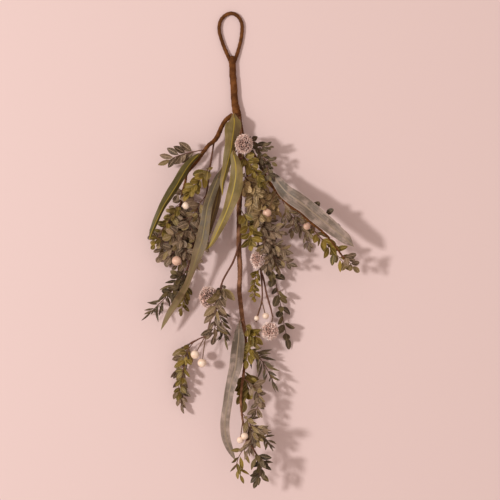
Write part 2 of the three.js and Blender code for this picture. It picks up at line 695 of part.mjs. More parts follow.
// ---------------------------------------------------------------- leaves of the sprigs
// Repeatable random numbers from 0 to 1.
function randomFrom(seed) {
  let state = seed;
  return () => {
    state = (state + 0x6d2b79f5) | 0;
    let mixed = Math.imul(state ^ (state >>> 15), 1 | state);
    mixed = (mixed + Math.imul(mixed ^ (mixed >>> 7), 61 | mixed)) ^ mixed;
    return ((mixed ^ (mixed >>> 14)) >>> 0) / 4294967296;
  };
}

// The turns and shrinking that a leaf tries in order until it has room.
const BENDS = [1, 0.8].flatMap((scale) =>
  [0, 14, -14, 28, -28, 42, -42].flatMap((pitch) =>
    [0, 18, -18].map((yaw) => ({ scale, pitch, yaw }))));

// A point of a leaf: t runs along it and u across it, both from the leaf's own frame.
function leafPoint({ root, along, side, face, length, curl }, t, across) {
  return root.clone()
    .addScaledVector(along, length * t)
    .addScaledVector(face, -curl * length * t * t)
    .addScaledVector(side, across);
}

function leafFrame(root, heading, pitch, roll, length, curl) {
  const along = new THREE.Vector3(
    Math.cos(pitch) * Math.cos(heading), Math.cos(pitch) * Math.sin(heading), Math.sin(pitch));
  const level = new THREE.Vector3(Math.sin(heading), -Math.cos(heading), 0);
  const upper = new THREE.Vector3().crossVectors(level, along);
  const side = level.clone().multiplyScalar(Math.cos(roll)).addScaledVector(upper, Math.sin(roll));
  const face = upper.multiplyScalar(Math.cos(roll)).addScaledVector(level, -Math.sin(roll));
  return { root, along, side, face, length, curl };
}

function leafSamples(frame, width) {
  const points = [leafPoint(frame, 1, 0)];
  for (const t of [0.32, 0.5, 0.68, 0.86]) {
    for (const u of [-0.42, 0, 0.42]) points.push(leafPoint(frame, t, u * width));
  }
  return points;
}

function leafSolid(frame, width, broadest) {
  const rings = [0.34, 0.76].map((t, i) => {
    const half = (broadest[i] * width) / 2;
    const ridge = frame.face.clone().multiplyScalar(SMALL_BLADE);
    return [
      leafPoint(frame, t, half),
      leafPoint(frame, t, 0).add(ridge),
      leafPoint(frame, t, -half),
    ];
  });
  return skinOver(rings, frame.root, leafPoint(frame, 1, 0));
}

// The first bend of a leaf that has room, or nothing.
function fitLeaf(owner, root, pose, width) {
  for (const { scale, pitch, yaw } of BENDS) {
    const heading = pose.heading + THREE.MathUtils.degToRad(yaw);
    const tilt = pose.pitch + THREE.MathUtils.degToRad(pitch);
    const frame = leafFrame(root, heading, tilt, pose.roll, pose.length * scale, pose.curl);
    const points = leafSamples(frame, width * scale);
    if (hasRoom(owner, root, points)) return { frame, points, width: width * scale };
  }
  return null;
}

// Opposite pairs along the twig and one leaf at its tip. Every leaf draws the same number of
// random values, so a leaf left out changes no other.
function leavesOf(name, { leaf, pairs, size = 1, seed }, route) {
  const kind = LEAF_KINDS[leaf];
  const random = randomFrom(seed);
  const curve = curveThrough(route);
  const solids = [];
  for (let i = 1; i <= 2 * pairs + 1; i += 1) {
    const step = Math.ceil(i / 2);
    const way = i > 2 * pairs ? 0 : 2 * (i % 2) - 1;
    const u = 0.1 + (0.9 * (step + SUB_OPPOSITE * way)) / (pairs + 1);
    const [a, b, c, d, e] = [random(), random(), random(), random(), random()];
    const root = pointOnTwig(curve, Math.min(u, 0.98));
    const tangent = curve.getTangent(Math.min(u, 0.98));
    const spread = THREE.MathUtils.degToRad(kind.spread + 44 * (a - 0.5));
    const young = 1.08 - 0.3 * u;
    const pose = {
      heading: Math.atan2(tangent.y, tangent.x) - way * spread,
      pitch: THREE.MathUtils.degToRad(-22 + 66 * b) + 0.6 * Math.asin(tangent.z),
      roll: THREE.MathUtils.degToRad(100 * (c - 0.5)),
      length: kind.length * size * young * (0.78 + 0.44 * d),
      curl: 0.02 + 0.14 * e,
    };
    const fitted = fitLeaf(name, root, pose, kind.width * size * young);
    if (!fitted) continue;
    fitted.frame.root.addScaledVector(fitted.frame.along, OFF_AXIS);
    fitted.points.forEach((point) => take(name, point, MARGIN));
    solids.push(leafSolid(fitted.frame, fitted.width, kind.broadest));
  }
  return solids;
}

function makeSprigs() {
  const routes = {};
  for (const [name, sprig] of Object.entries(SPRIGS)) {
    routes[name] = stemRoute(sprig);
    takeRoute(name, routes[name], [TWIG_START + 0.6, TWIG_END + 0.6], true);
  }
  for (const [name, sprig] of Object.entries(SPRIGS)) {
    const twig = rod(routes[name], [TWIG_START, TWIG_END], 3, TWIG_STEPS);
    addPiece(name, joinAll([twig, ...leavesOf(name, sprig, routes[name])]), sprig.finish);
  }
}

makeHangingLoop();
for (const [name, branch] of Object.entries(BRANCHES)) makeBranch(name, branch);
for (const [name, ribbon] of Object.entries(RIBBONS)) makeRibbon(name, ribbon);
for (const [name, head] of Object.entries(HEADS)) makeHead(name, head);
for (const [name, berries] of Object.entries(BERRIES)) makeBerries(name, berries);
makeSprigs();

export default bunch;
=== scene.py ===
# %% [markdown]
# # A hanging bunch of artificial mistletoe and eucalyptus
#
# The real thing is a spray of wire stems: brown paper tape binds them into a handle
# with a hanging loop, and they carry printed fabric leaves, waxy berries and dusty
# flower heads. It could be modelled leaf by leaf with a brush, or scattered with a
# particle system. Here it is grown by arithmetic instead, because the solids of the
# same part were grown by the same rules, so every leaf lands where its solid is.
#
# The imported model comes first. It is the frame that all later pieces must fit.

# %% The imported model
import math

import bpy
import numpy as np
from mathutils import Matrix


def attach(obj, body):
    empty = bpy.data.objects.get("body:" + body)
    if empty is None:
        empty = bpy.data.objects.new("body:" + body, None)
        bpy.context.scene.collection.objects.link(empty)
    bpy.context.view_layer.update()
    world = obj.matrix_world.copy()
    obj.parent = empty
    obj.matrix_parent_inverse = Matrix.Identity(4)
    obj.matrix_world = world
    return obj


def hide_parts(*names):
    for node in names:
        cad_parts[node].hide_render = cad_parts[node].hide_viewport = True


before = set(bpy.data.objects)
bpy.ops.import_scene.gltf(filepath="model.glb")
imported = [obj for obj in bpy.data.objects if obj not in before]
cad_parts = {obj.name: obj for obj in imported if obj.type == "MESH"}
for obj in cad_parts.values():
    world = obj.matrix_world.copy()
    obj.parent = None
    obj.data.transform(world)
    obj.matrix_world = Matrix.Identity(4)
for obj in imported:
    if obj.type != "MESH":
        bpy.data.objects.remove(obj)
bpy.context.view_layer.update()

MM = 0.001

# %% [markdown]
# ## Camera, floor and light
#
# The bunch lies on its back, so the camera looks straight down on it from 3 m, with
# the loop at the top of the picture. A long lens keeps the near leaves from looking
# larger than the far ones.
#
# One large lamp stands high on the left. It throws the soft shadows towards the lower
# right that tell how far each leaf stands off the floor, and a pale surrounding light
# fills them.

# %% Camera, floor and light
CAMERA_HEIGHT = 3.0
FIELD = 0.750  # what the picture spans at the height of a middling leaf
LEAF_HEIGHT = 0.030
MIDDLE = -0.00375  # the middle of the picture lies this far along Y
LAMP_PLACE, LAMP_SIZE, LAMP_POWER = (-2.9, 0.3, 3.4), 0.45, 116
FLOOR_REACH = 4.0


def add_object(name, data):
    item = bpy.data.objects.new(name, data)
    bpy.context.scene.collection.objects.link(item)
    return item


def aim_camera():
    lens = bpy.data.cameras.new("camera")
    lens.lens = lens.sensor_width * (CAMERA_HEIGHT - LEAF_HEIGHT) / FIELD
    camera = add_object("camera", lens)
    camera.location = (0, MIDDLE, CAMERA_HEIGHT)
    bpy.context.scene.camera = camera


def add_lamp(name, place, size, power, colour):
    """A square lamp that faces from its place to the origin."""
    light = bpy.data.lights.new(name, "AREA")
    light.size, light.energy, light.color = size, power, colour
    lamp = add_object(name, light)
    lamp.location = place
    lamp.rotation_mode = "QUATERNION"
    lamp.rotation_quaternion = lamp.location.to_track_quat("Z", "Y")


def surround_with_light(colour, strength):
    world = bpy.data.worlds.new("studio")
    world.use_nodes = True
    background = world.node_tree.nodes["Background"]
    background.inputs["Color"].default_value = (*colour, 1)
    background.inputs["Strength"].default_value = strength
    bpy.context.scene.world = world


aim_camera()
add_lamp("lamp_left", LAMP_PLACE, LAMP_SIZE, LAMP_POWER, (1, 0.98, 0.96))
surround_with_light((1, 0.83, 0.75), 0.61)
bpy.context.scene.view_settings.view_transform = "Standard"
print("camera lens", round(bpy.context.scene.camera.data.lens, 1), "mm")

# %% [markdown]
# ## Stacks of rings
#
# A tape-wrapped stem, a leaf, a petal and a berry have one thing in common: each is a
# closed skin round a path. So one recipe serves them all. It takes a stack of rings
# with the same number of corners, joins each ring to the next with quads, and closes
# both ends at a pole. Hundreds of leaves go through it at once as one array.
#
# Every corner also carries a mark of three numbers that the materials read, such as
# how far along and across its leaf it lies.

# %% Closed skins from rings
SHARP = 65  # edges that turn by more degrees than this show as creases


def ring_faces(rings, corners):
    """Quads between neighbouring rings, and triangles from the end rings to two poles.

    Corner k of ring i has number i * corners + k. The start pole comes next and the
    end pole last.
    """
    number = np.arange(rings * corners).reshape(rings, corners)
    onward = np.roll(number, -1, axis=1)
    quads = np.stack([number[:-1], number[1:], onward[1:], onward[:-1]], -1).reshape(-1, 4)
    pole = np.full(corners, rings * corners)
    start = np.stack([pole, number[0], onward[0]], -1)
    end = np.stack([pole + 1, onward[-1], number[-1]], -1)
    return quads, np.concatenate([start, end])


def closed_skins(rings, start, end, marks):
    """Skins over n stacks at once: rings is (n, rings, corners, 3), start and end are (n, 3).

    marks has the shape of rings. A pole takes the mean mark of the ring beside it.
    """
    n, count, corners, _ = rings.shape
    points = np.concatenate([rings.reshape(n, -1, 3), start[:, None], end[:, None]], 1)
    pole_marks = marks[:, [0, -1]].mean(2)
    marks = np.concatenate([marks.reshape(n, -1, 3), pole_marks], 1)
    first = (np.arange(n) * points.shape[1])[:, None, None]
    quads, triangles = (faces + first for faces in ring_faces(count, corners))
    return dict(
        points=points.reshape(-1, 3), marks=marks.reshape(-1, 3),
        quads=quads.reshape(-1, 4), triangles=triangles.reshape(-1, 3),
    )


def fill_mesh(name, skins):
    """A mesh of several skins, in metres. The number of a face's skin is its material's."""
    mesh = bpy.data.meshes.new(name)
    firsts = np.cumsum([0] + [len(skin["points"]) for skin in skins])
    faces = [
        (skin[kind] + first, slot)
        for slot, (skin, first) in enumerate(zip(skins, firsts))
        for kind in ("quads", "triangles")
    ]
    sizes = np.concatenate([np.full(len(f), f.shape[1]) for f, _ in faces])
    mesh.vertices.add(firsts[-1])
    mesh.loops.add(sizes.sum())
    mesh.polygons.add(len(sizes))
    points = np.concatenate([skin["points"] for skin in skins]) * MM
    mesh.vertices.foreach_set("co", points.astype(np.float32).ravel())
    mesh.loops.foreach_set("vertex_index", np.concatenate([f.ravel() for f, _ in faces]))
    mesh.polygons.foreach_set("loop_start", np.cumsum(sizes) - sizes)
    slots = np.concatenate([np.full(len(f), slot) for f, slot in faces])
    mesh.polygons.foreach_set("material_index", slots)
    mesh.polygons.foreach_set("use_smooth", np.ones(len(sizes), bool))
    marks = np.concatenate([skin["marks"] for skin in skins]).astype(np.float32)
    mesh.attributes.new("mark", "FLOAT_VECTOR", "POINT").data.foreach_set("vector", marks.ravel())
    mesh.update(calc_edges=True)
    mesh.set_sharp_from_angle(angle=math.radians(SHARP))
    return mesh


def add_piece(node, skins, finishes):
    """A finished piece that rides on the root body and stands for one solid of the part."""
    mesh = fill_mesh("fine_" + node, skins)
    for finish in finishes:
        mesh.materials.append(finish)
    piece = add_object("fine_" + node, mesh)
    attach(piece, "root")
    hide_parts(node)
    return piece


def lay_floor():
    """A square just under the bunch, so that the two never share a surface."""
    corners = [(-1, -1), (1, -1), (1, 1), (-1, 1)]
    mesh = bpy.data.meshes.new("floor")
    points = [(x * FLOOR_REACH, y * FLOOR_REACH, -0.2 * MM) for x, y in corners]
    mesh.from_pydata(points, [], [(0, 1, 2, 3)])
    floor = add_object("floor", mesh)
    return floor


floor = lay_floor()

# %% [markdown]
# ## Materials
#
# Printed fabric leaves are never one colour: the midrib is lighter, the tint drifts
# from leaf to leaf, and a whitish bloom sits on the surface. Image textures could
# show that, but nodes keep it sharp at any distance. Each material is a short chain:
# masks from the marks and from noise, colours mixed by the masks, and a bump.

# %% Short ways to build a material
def linear(red, green, blue):
    """The linear colour of a screen shade of 0 to 255: ((c + 0.055) / 1.055) ^ 2.4."""
    shade = np.array([red, green, blue]) / 255
    return (*np.where(shade > 0.04045, ((shade + 0.055) / 1.055) ** 2.4, shade / 12.92), 1)


class Recipe:
    """A material whose nodes are added one at a time, each from the sockets before it."""

    def __init__(self, name):
        self.material = bpy.data.materials.new(name)
        self.material.use_nodes = True
        self.tree = self.material.node_tree
        self.surface = self.tree.nodes["Principled BSDF"]

    def add(self, kind, inputs, **settings):
        node = self.tree.nodes.new(kind)
        for key, value in settings.items():
            setattr(node, key, value)
        for key, value in inputs.items():
            self.give(node.inputs[key], value)
        return node

    def give(self, socket, value):
        if isinstance(value, bpy.types.NodeSocket):
            self.tree.links.new(value, socket)
        else:
            socket.default_value = value

    def place(self):
        return self.add("ShaderNodeTexCoord", {}).outputs["Object"]

    def marks(self):
        mark = self.add("ShaderNodeAttribute", {}, attribute_name="mark").outputs["Vector"]
        return list(self.add("ShaderNodeSeparateXYZ", {"Vector": mark}).outputs)

    def noise(self, scale, detail=3, rough=0.55, at=None):
        where = at if at is not None else self.place()
        inputs = {"Vector": where, "Scale": scale, "Detail": detail, "Roughness": rough}
        return self.add("ShaderNodeTexNoise", inputs).outputs["Fac"]

    def maths(self, operation, a, b=0.0):
        return self.add("ShaderNodeMath", {0: a, 1: b}, operation=operation).outputs[0]

    def between(self, value, low, high, to_low=0.0, to_high=1.0):
        """A smooth step: to_low where the value is below low, to_high above high."""
        inputs = {0: value, 1: low, 2: high, 3: to_low, 4: to_high}
        ramp = self.add("ShaderNodeMapRange", inputs, interpolation_type="SMOOTHSTEP")
        return ramp.outputs[0]

    def times(self, a, b):
        return self.maths("MULTIPLY", a, b)

    def mix(self, share, a, b):
        inputs = {0: share, 6: a, 7: b}
        return self.add("ShaderNodeMix", inputs, data_type="RGBA").outputs[2]

    def shades(self, share, first, second):
        """From one screen shade to another as the share goes from 0 to 1."""
        return self.mix(share, linear(*first), linear(*second))

    def tint(self, colour, mask, shade, share=None):
        """The colour, with a screen shade laid over it where the mask is white."""
        if share is not None:
            mask = self.times(mask, share)
        return self.mix(mask, colour, linear(*shade))

    def along_mark(self, along, across):
        """Coordinates that follow the marks, for streaks that run along a leaf or stem."""
        first, second, third = self.marks()
        inputs = {
            0: self.times(first, along), 1: self.times(second, across), 2: self.times(third, 7.0),
        }
        return self.add("ShaderNodeCombineXYZ", inputs).outputs[0]

    def finish(self, colour, roughness, height=None, depth=0.0003, strength=0.5, shine=0.5):
        self.give(self.surface.inputs["Base Color"], colour)
        self.give(self.surface.inputs["Roughness"], roughness)
        self.surface.inputs["Specular IOR Level"].default_value = shine
        if height is not None:
            inputs = {"Height": height, "Distance": depth, "Strength": strength}
            bump = self.add("ShaderNodeBump", inputs).outputs["Normal"]
            self.give(self.surface.inputs["Normal"], bump)
        return self.material

# %% [markdown]
# ## The finishes
#
# A handful of recipes cover the bunch: crepe paper tape, twig, small leaf, ribbon leaf,
# berry and dusty floret, most of them in several tints. Each colour is a plain
# number on the shader or a mix of two or three, and every mask is named for what it
# shows.

# %% Tape, twigs and stalks
def tape_finish(name, dark, light):
    """Crepe tape: painted highlights on its wrinkles, worn lighter in patches and darker at each
    turn's edge.
    """
    recipe = Recipe(name)
    edge = recipe.marks()[2]
    wear = recipe.noise(90, 4)
    crepe = recipe.noise(1, 4, 0.7, at=recipe.along_mark(1.6, 9))
    colour = recipe.shades(recipe.between(wear, 0.35, 0.7), dark, light)
    # Darker along the raised edge of each turn of tape.
    seam = recipe.between(edge, 0.86, 1.0)
    colour = recipe.tint(colour, seam, (38, 18, 6), 0.6)
    # Painted highlight: the crests of the crepe wrinkles, from the same noise as the bump, are
    # tinted a paler brown.
    crepe_highlight = recipe.between(crepe, 0.3, 0.75)
    colour = recipe.tint(colour, crepe_highlight, (142, 90, 44), 0.35)
    rough = recipe.between(wear, 0.3, 0.7, 0.85, 0.66)
    return recipe.finish(colour, rough, crepe, depth=0.0005, strength=0.8, shine=0.15)


def twig_finish(name, dark, light):
    """A plastic twig with a bark grain: long streaks and a few pale scars."""
    recipe = Recipe(name)
    streaks = recipe.noise(1, 4, 0.65, at=recipe.along_mark(0.25, 6))
    scars = recipe.between(recipe.noise(420, 2), 0.62, 0.72)
    colour = recipe.shades(recipe.between(streaks, 0.3, 0.7), dark, light)
    colour = recipe.tint(colour, scars, (162, 124, 102), 0.5)
    return recipe.finish(colour, 0.62, streaks, depth=0.0004, strength=0.7, shine=0.3)


# %% Leaf greens
def leaf_finish(name, deep, bright, rib, bloom, stray, bloom_share, roughness):
    """A small printed leaf: pale midrib, side veins and rim, drifting tints and a bloom.

    One leaf in five takes the stray tint, as prints of two batches are mixed on a sprig.
    """
    recipe = Recipe(name)
    along, across, tint = recipe.marks()
    side = recipe.maths("ABSOLUTE", across)
    drift = recipe.maths("MULTIPLY_ADD", recipe.noise(70, 2), 0.8)
    recipe.give(drift.node.inputs[2], recipe.times(tint, 0.6))
    colour = recipe.shades(recipe.between(drift, 0.3, 1.1), deep, bright)
    colour = recipe.tint(colour, recipe.between(tint, 0.78, 0.84, 0.0, 0.8), stray)
    slant = recipe.maths("SUBTRACT", recipe.times(along, 9.0), side)
    veins = recipe.maths("SINE", recipe.times(slant, 4.6))
    colour = recipe.tint(colour, recipe.between(veins, 0.75, 1.0), rib, 0.16)
    midrib = recipe.between(side, 0.05, 0.16, 0.75, 0.0)
    colour = recipe.tint(colour, midrib, rib)
    colour = recipe.tint(colour, recipe.between(side, 0.78, 1.0), rib, 0.45)
    dust = recipe.between(recipe.noise(650, 4, 0.7), 0.45, 0.75)
    colour = recipe.tint(colour, dust, bloom, bloom_share)
    bump = recipe.maths("ADD", recipe.times(veins, 0.3), recipe.times(midrib, -1.0))
    rough = recipe.between(dust, 0.0, 1.0, roughness, roughness + 0.2)
    return recipe.finish(colour, rough, bump, depth=0.0003, strength=0.6, shine=0.3)


# %% Ribbon-leaf greens
def ribbon_finish(name, deep, bright, rib, vein, bloom_share, ends=(0.0, 0.0)):
    """A long printed leaf: a bright midrib, fine veins that slant from it, and streaky bloom.

    ends gives how much darker the leaf is at its stalk and how much paler past its
    middle. The marks give millimetres along and across, so a vein stands every 2.2 mm
    whatever the leaf's width.
    """
    recipe = Recipe(name)
    along, across, share = recipe.marks()
    out = recipe.maths("ABSOLUTE", across)
    streaks = recipe.noise(1, 3, 0.55, at=recipe.along_mark(0.03, 0.25))
    colour = recipe.shades(recipe.between(streaks, 0.2, 0.75), deep, bright)
    wobble = recipe.times(recipe.noise(60, 2), 9.0)
    slant = recipe.maths("SUBTRACT", along, recipe.times(out, 2.1))
    wave = recipe.maths("SINE", recipe.times(recipe.maths("ADD", slant, wobble), 2.85))
    worn = recipe.between(recipe.noise(140, 3), 0.35, 0.65, 0.02, 0.26)
    colour = recipe.tint(colour, recipe.between(wave, 0.4, 1.0), vein, worn)
    drift = recipe.between(recipe.noise(38, 2), 0.38, 0.66)
    colour = recipe.tint(colour, drift, deep, 0.5)
    colour = recipe.tint(colour, recipe.between(along, 8, 110, ends[0], 0.0), deep)
    colour = recipe.tint(colour, recipe.between(along, 80, 170, 0.0, ends[1]), vein)
    mottle = recipe.between(recipe.noise(90, 5, 0.6), 0.44, 0.7)
    colour = recipe.tint(colour, mottle, vein, bloom_share)
    midrib = recipe.between(out, 0.45, 1.15, 1.0, 0.0)
    colour = recipe.tint(colour, midrib, rib)
    rim = recipe.between(recipe.maths("ABSOLUTE", share), 0.9, 1.0, 0.0, 0.5)
    colour = recipe.tint(colour, rim, vein)
    bump = recipe.maths("ADD", recipe.times(wave, worn), midrib)
    rough = recipe.between(mottle, 0.0, 1.0, 0.5, 0.68)
    return recipe.finish(colour, rough, bump, depth=0.0003, strength=0.55, shine=0.35)


# %% Berries and florets
def berry_finish(name, pale, blush):
    """A waxy berry: faint mottling of two tints, and a brown dot at its far end."""
    recipe = Recipe(name)
    far = recipe.marks()[0]
    mottle = recipe.between(recipe.noise(160, 3), 0.35, 0.75)
    colour = recipe.shades(mottle, pale, blush)
    colour = recipe.tint(colour, recipe.between(far, 0.93, 0.965), (92, 62, 44))
    recipe.surface.inputs["Coat Weight"].default_value = 0.25
    recipe.surface.inputs["Coat Roughness"].default_value = 0.25
    return recipe.finish(colour, 0.42, mottle, depth=0.0002, strength=0.25)


def floret_finish(name, deep, shade, fresh, rim):
    """A dusty floret: brown at its heart, pink-grey petals, and glitter on the curled rim."""
    recipe = Recipe(name)
    out, _, tint = recipe.marks()
    colour = recipe.shades(tint, shade, fresh)
    colour = recipe.tint(colour, recipe.between(out, 0.28, 0.76, 0.95, 0.0), deep)
    colour = recipe.tint(colour, recipe.between(out, 0.66, 1.0, 0.0, 0.9), rim)
    glitter = recipe.between(recipe.noise(1500, 3, 0.8), 0.58, 0.68)
    colour = recipe.tint(colour, glitter, (248, 232, 224), 0.6)
    return recipe.finish(colour, 0.6, glitter, depth=0.0002, strength=0.6)


# Each finish of a recipe: its name, and then its shades and shares in the recipe's order.
TINTS = {
    tape_finish: dict(
        bark=("bark_tape", (70, 37, 13), (117, 71, 30)),
        paleBark=("bark_tape_pale", (102, 66, 46), (164, 120, 92)),
    ),
    twig_finish: dict(
        redBark=("red_bark", (78, 44, 32), (126, 84, 64)),
        stalk=("stalk", (88, 56, 38), (128, 92, 60)),
    ),
    leaf_finish: dict(
        grey=(
            "grey_leaf", (54, 41, 18), (142, 117, 91), (176, 150, 122), (206, 178, 158),
            (124, 106, 50), 0.48, 0.5,
        ),
        mossy=(
            "mossy_leaf", (76, 59, 20), (182, 151, 98), (208, 178, 134), (220, 192, 164),
            (96, 78, 40), 0.46, 0.5,
        ),
        dark=(
            "dark_leaf", (46, 37, 18), (98, 82, 57), (138, 117, 88), (168, 146, 124),
            (104, 88, 44), 0.34, 0.5,
        ),
        yellow=(
            "yellow_leaf", (76, 63, 12), (148, 123, 44), (180, 154, 84), (184, 160, 114),
            (98, 82, 50), 0.2, 0.48,
        ),
    ),
    ribbon_finish: dict(
        olive=(
            "olive_leaf", (100, 86, 42), (138, 116, 68), (170, 146, 46), (164, 142, 98), 0.3,
            (0.3, 0.35),
        ),
        deepOlive=(
            "olive_leaf_deep", (64, 56, 20), (96, 84, 36), (156, 134, 42), (134, 116, 68), 0.2,
        ),
        brownOlive=(
            "olive_leaf_brown", (86, 62, 34), (120, 92, 56), (140, 112, 56), (150, 122, 90),
            0.2,
        ),
        sage=(
            "sage_leaf", (88, 78, 64), (154, 134, 121), (152, 133, 112), (202, 176, 164), 0.42,
            (0.85, 0.1),
        ),
        shadedSage=(
            "sage_leaf_shaded", (72, 62, 46), (112, 97, 76), (130, 114, 72), (162, 134, 92),
            0.3, (0.5, 0.45),
        ),
    ),
    berry_finish: dict(
        berry=("cream_berry", (250, 228, 208), (236, 202, 174)),
        # A pinker, darker copy of the cream berry: partly the berries' own blush, partly painted
        # shade for berries that sit among the leaves.
        blushedShadedBerry=("cream_berry_blushed", (232, 194, 170), (206, 160, 138)),
    ),
    floret_finish: dict(
        floret=("dusky_floret", (58, 36, 28), (170, 124, 110), (238, 196, 181), (250, 228, 217)),
        # A paler copy of the dusky floret with a lighter heart: partly the heads' own paler tint,
        # partly painted light that lifts heads lying in the shade of leaves and of their own
        # florets.
        paleLitFloret=(
            "dusky_floret_pale", (128, 90, 74), (218, 172, 156), (254, 218, 203),
            (255, 240, 232),
        ),
    ),
}
FINISHES = {
    name: recipe(*shades) for recipe, tints in TINTS.items() for name, shades in tints.items()
}
print("finishes:", ", ".join(FINISHES))


def floor_finish():
    recipe = Recipe("pale_floor")
    return recipe.finish(linear(229, 205, 202), 0.9)


floor.data.materials.append(floor_finish())

# %% [markdown]
# ## Smooth routes
#
# A wire stem is drawn as a few places in millimetres that its middle passes
# through. The smooth curve between them is a Catmull-Rom spline, which needs no
# handles: at each place it runs parallel to the line between the neighbours.

# %% Curves and the directions square to them
def curve_at(places, u):
    """Points at u (0 to 1, spread evenly over the spans) of the spline through the places.

    Each span is the cubic whose slope at a place is half of next minus previous. The
    ends borrow a neighbour that mirrors the one beside them.
    """
    places = np.asarray(places, float)
    padded = np.vstack([2 * places[0] - places[1], places, 2 * places[-1] - places[-2]])
    position = np.atleast_1d(u) * (len(places) - 1)
    span = np.minimum(position.astype(int), len(places) - 2)
    t = (position - span)[:, None]
    before, start, end, after = (padded[span + k] for k in range(4))
    leave, arrive = (end - before) / 2, (after - start) / 2
    square = 3 * (end - start) - 2 * leave - arrive
    cube = 2 * (start - end) + leave + arrive
    return start + t * (leave + t * (square + t * cube))


def unit(vectors):
    return vectors / np.linalg.norm(vectors, axis=-1, keepdims=True)


def tangent_at(places, u):
    """Unit directions of the spline at u: the step between two points a little either side."""
    u, little = np.atleast_1d(u), 0.0001
    ahead = curve_at(places, np.minimum(u + little, 1))
    return unit(ahead - curve_at(places, np.maximum(u - little, 0)))


def cross_axes(tangents):
    """Level side = tangent x up-the-world, and up = side x tangent, both square to the tangent."""
    side = unit(np.cross(tangents, (0.0, 0.0, 1.0)))
    return side, np.cross(side, tangents)


def rolled(side, up, roll):
    """Both directions turned about the tangent: side cos r - up sin r, up cos r + side sin r."""
    c, s = np.cos(roll)[:, None], np.sin(roll)[:, None]
    return side * c - up * s, up * c + side * s


def spline_length(places):
    """The sum of 200 straight steps."""
    return np.linalg.norm(np.diff(curve_at(places, np.linspace(0, 1, 201)), axis=0), axis=1).sum()


def value_along(values, u):
    """Values spread evenly over 0 to 1, joined by straight lines."""
    return np.interp(u, np.linspace(0, 1, len(values)), values)


def rings_round(centres, tangents, radii, corners):
    """Rings about a path: centre + radius * (side * cos turn + up * sin turn).

    radii is one number for each ring, or one for each corner of each ring.
    """
    side, up = cross_axes(tangents)
    turn = 2 * np.pi * (np.arange(corners) + 0.5) / corners
    radii = np.broadcast_to(np.reshape(radii, (len(centres), -1)), (len(centres), corners))
    spoke = side[:, None] * np.cos(turn)[:, None] + up[:, None] * np.sin(turn)[:, None]
    return centres[:, None] + radii[..., None] * spoke


# %% [markdown]
# ## Taped stems
#
# Florist's tape is a strip of crepe paper wound on at a slant, so its edge climbs the
# stem as a spiral step. A texture could fake that, but in the low side light of the
# scene the step itself has to catch the light. The radius of each ring therefore
# follows a saw wave: it grows slowly over one turn of tape and drops at the edge of the
# next. The drop's place depends on the distance along plus the turn round the stem,
# which makes the spiral. Slower waves give the lumps of the wires inside.

# %% A stem wound with tape, and a plain one
def saw(value):
    """From 0 up to 1 and at once down to 0 again, once for each whole number."""
    return value - np.floor(value)


def lumps(along, turn, seed):
    """A smooth unevenness between -1 and 1: three sines of the distance and the turn."""
    a, b, c = np.random.default_rng(seed).uniform(0, 2 * np.pi, 3)
    return (
        np.sin(along / 5.3 + a + np.sin(turn + b)) * 0.45
        + np.sin(along / 11.0 + 2 * turn + c) * 0.35
        + np.sin(along / 2.3 + 3 * turn + a) * 0.20
    )


def stem_skin(places, radii, corners, spacing, pitch=0.0, step=0.0, lump=0.0, seed=1, floor=None):
    """A closed skin along a route, with a ring every spacing millimetres.

    radius = value along the route + lump * lumps + step * saw(along / pitch + turn).
    Points below the floor's height are set on it, as a heavy stem is flattened there.
    """
    length = spline_length(places)
    count = max(4, int(length / spacing))
    u = np.linspace(0, 1, count)
    centres, tangents = curve_at(places, u), tangent_at(places, u)
    along = (u * length)[:, None]
    turn = 2 * np.pi * (np.arange(corners) + 0.5)[None] / corners
    ramp = saw(along / pitch + turn / (2 * np.pi)) if pitch else np.zeros((count, corners))
    radius = value_along(radii, u)[:, None] + lump * lumps(along, turn, seed) + step * ramp
    rings = rings_round(centres, tangents, radius, corners)
    start = centres[0] - tangents[0] * radius[0].mean() * 0.35
    end = centres[-1] + tangents[-1] * radius[-1].mean() * 0.35
    marks = np.stack(np.broadcast_arrays(along, turn, ramp), -1)
    if floor is not None:
        rings[..., 2] = np.maximum(rings[..., 2], floor)
    return closed_skins(rings[None], start[None], end[None], marks[None])


# %% [markdown]
# ## The hanging loop and its handle
#
# One taped wire makes a teardrop loop, and its two ends run down side by side into the
# handle, where more tape binds them to the branches. Two skins that overlap at the
# loop's foot look joined, because the tape hides the real joint as well. The handle
# swells towards its lower end and then tapers over the branches like a whipped knot.

# %% The hanging loop
LOOP = [
    (-29, 279, 4), (-32, 287, 3.6), (-37, 298, 3), (-42, 311, 2.7), (-46.5, 328, 2.6),
    (-45, 342, 2.6), (-38, 351, 2.6), (-28.5, 354.5, 2.6), (-19, 350.5, 2.6), (-13, 341, 2.6),
    (-12, 329, 2.6), (-14, 313, 2.7), (-18, 298, 3), (-21.5, 287, 3.6), (-24, 279, 4),
]
HANDLE_ROUTE = [
    (-26.5, 283, 4.6), (-26, 262, 4.7), (-25, 250, 4.8), (-23.5, 224, 5.2), (-21.5, 212, 5.6),
    (-20, 203, 6),
]
WIRE = 2.7
HANDLE = [5.1, 5, 5.1, 5.5, 6, 6.4]


def make_hanging_loop():
    wire = stem_skin(LOOP, [WIRE - 0.2] * 2, 20, 0.7, pitch=6.5, step=0.45, lump=0.12, floor=0.02)
    foot = [(-27, 289, 4.2), (-26.7, 286, 4.4)] + HANDLE_ROUTE + [(-19, 197, 7), (-18.2, 192, 8.6)]
    radii = [2.4, 4.6] + [radius - 0.35 for radius in HANDLE] + [5.6, 3.9]
    handle = stem_skin(foot, radii, 36, 0.7, pitch=9, step=0.6, lump=0.35, seed=3, floor=0.02)
    piece = add_piece("hanging_loop", [wire, handle], [FINISHES["bark"]] * 2)
    print("hanging loop:", len(piece.data.polygons), "faces")


make_hanging_loop()

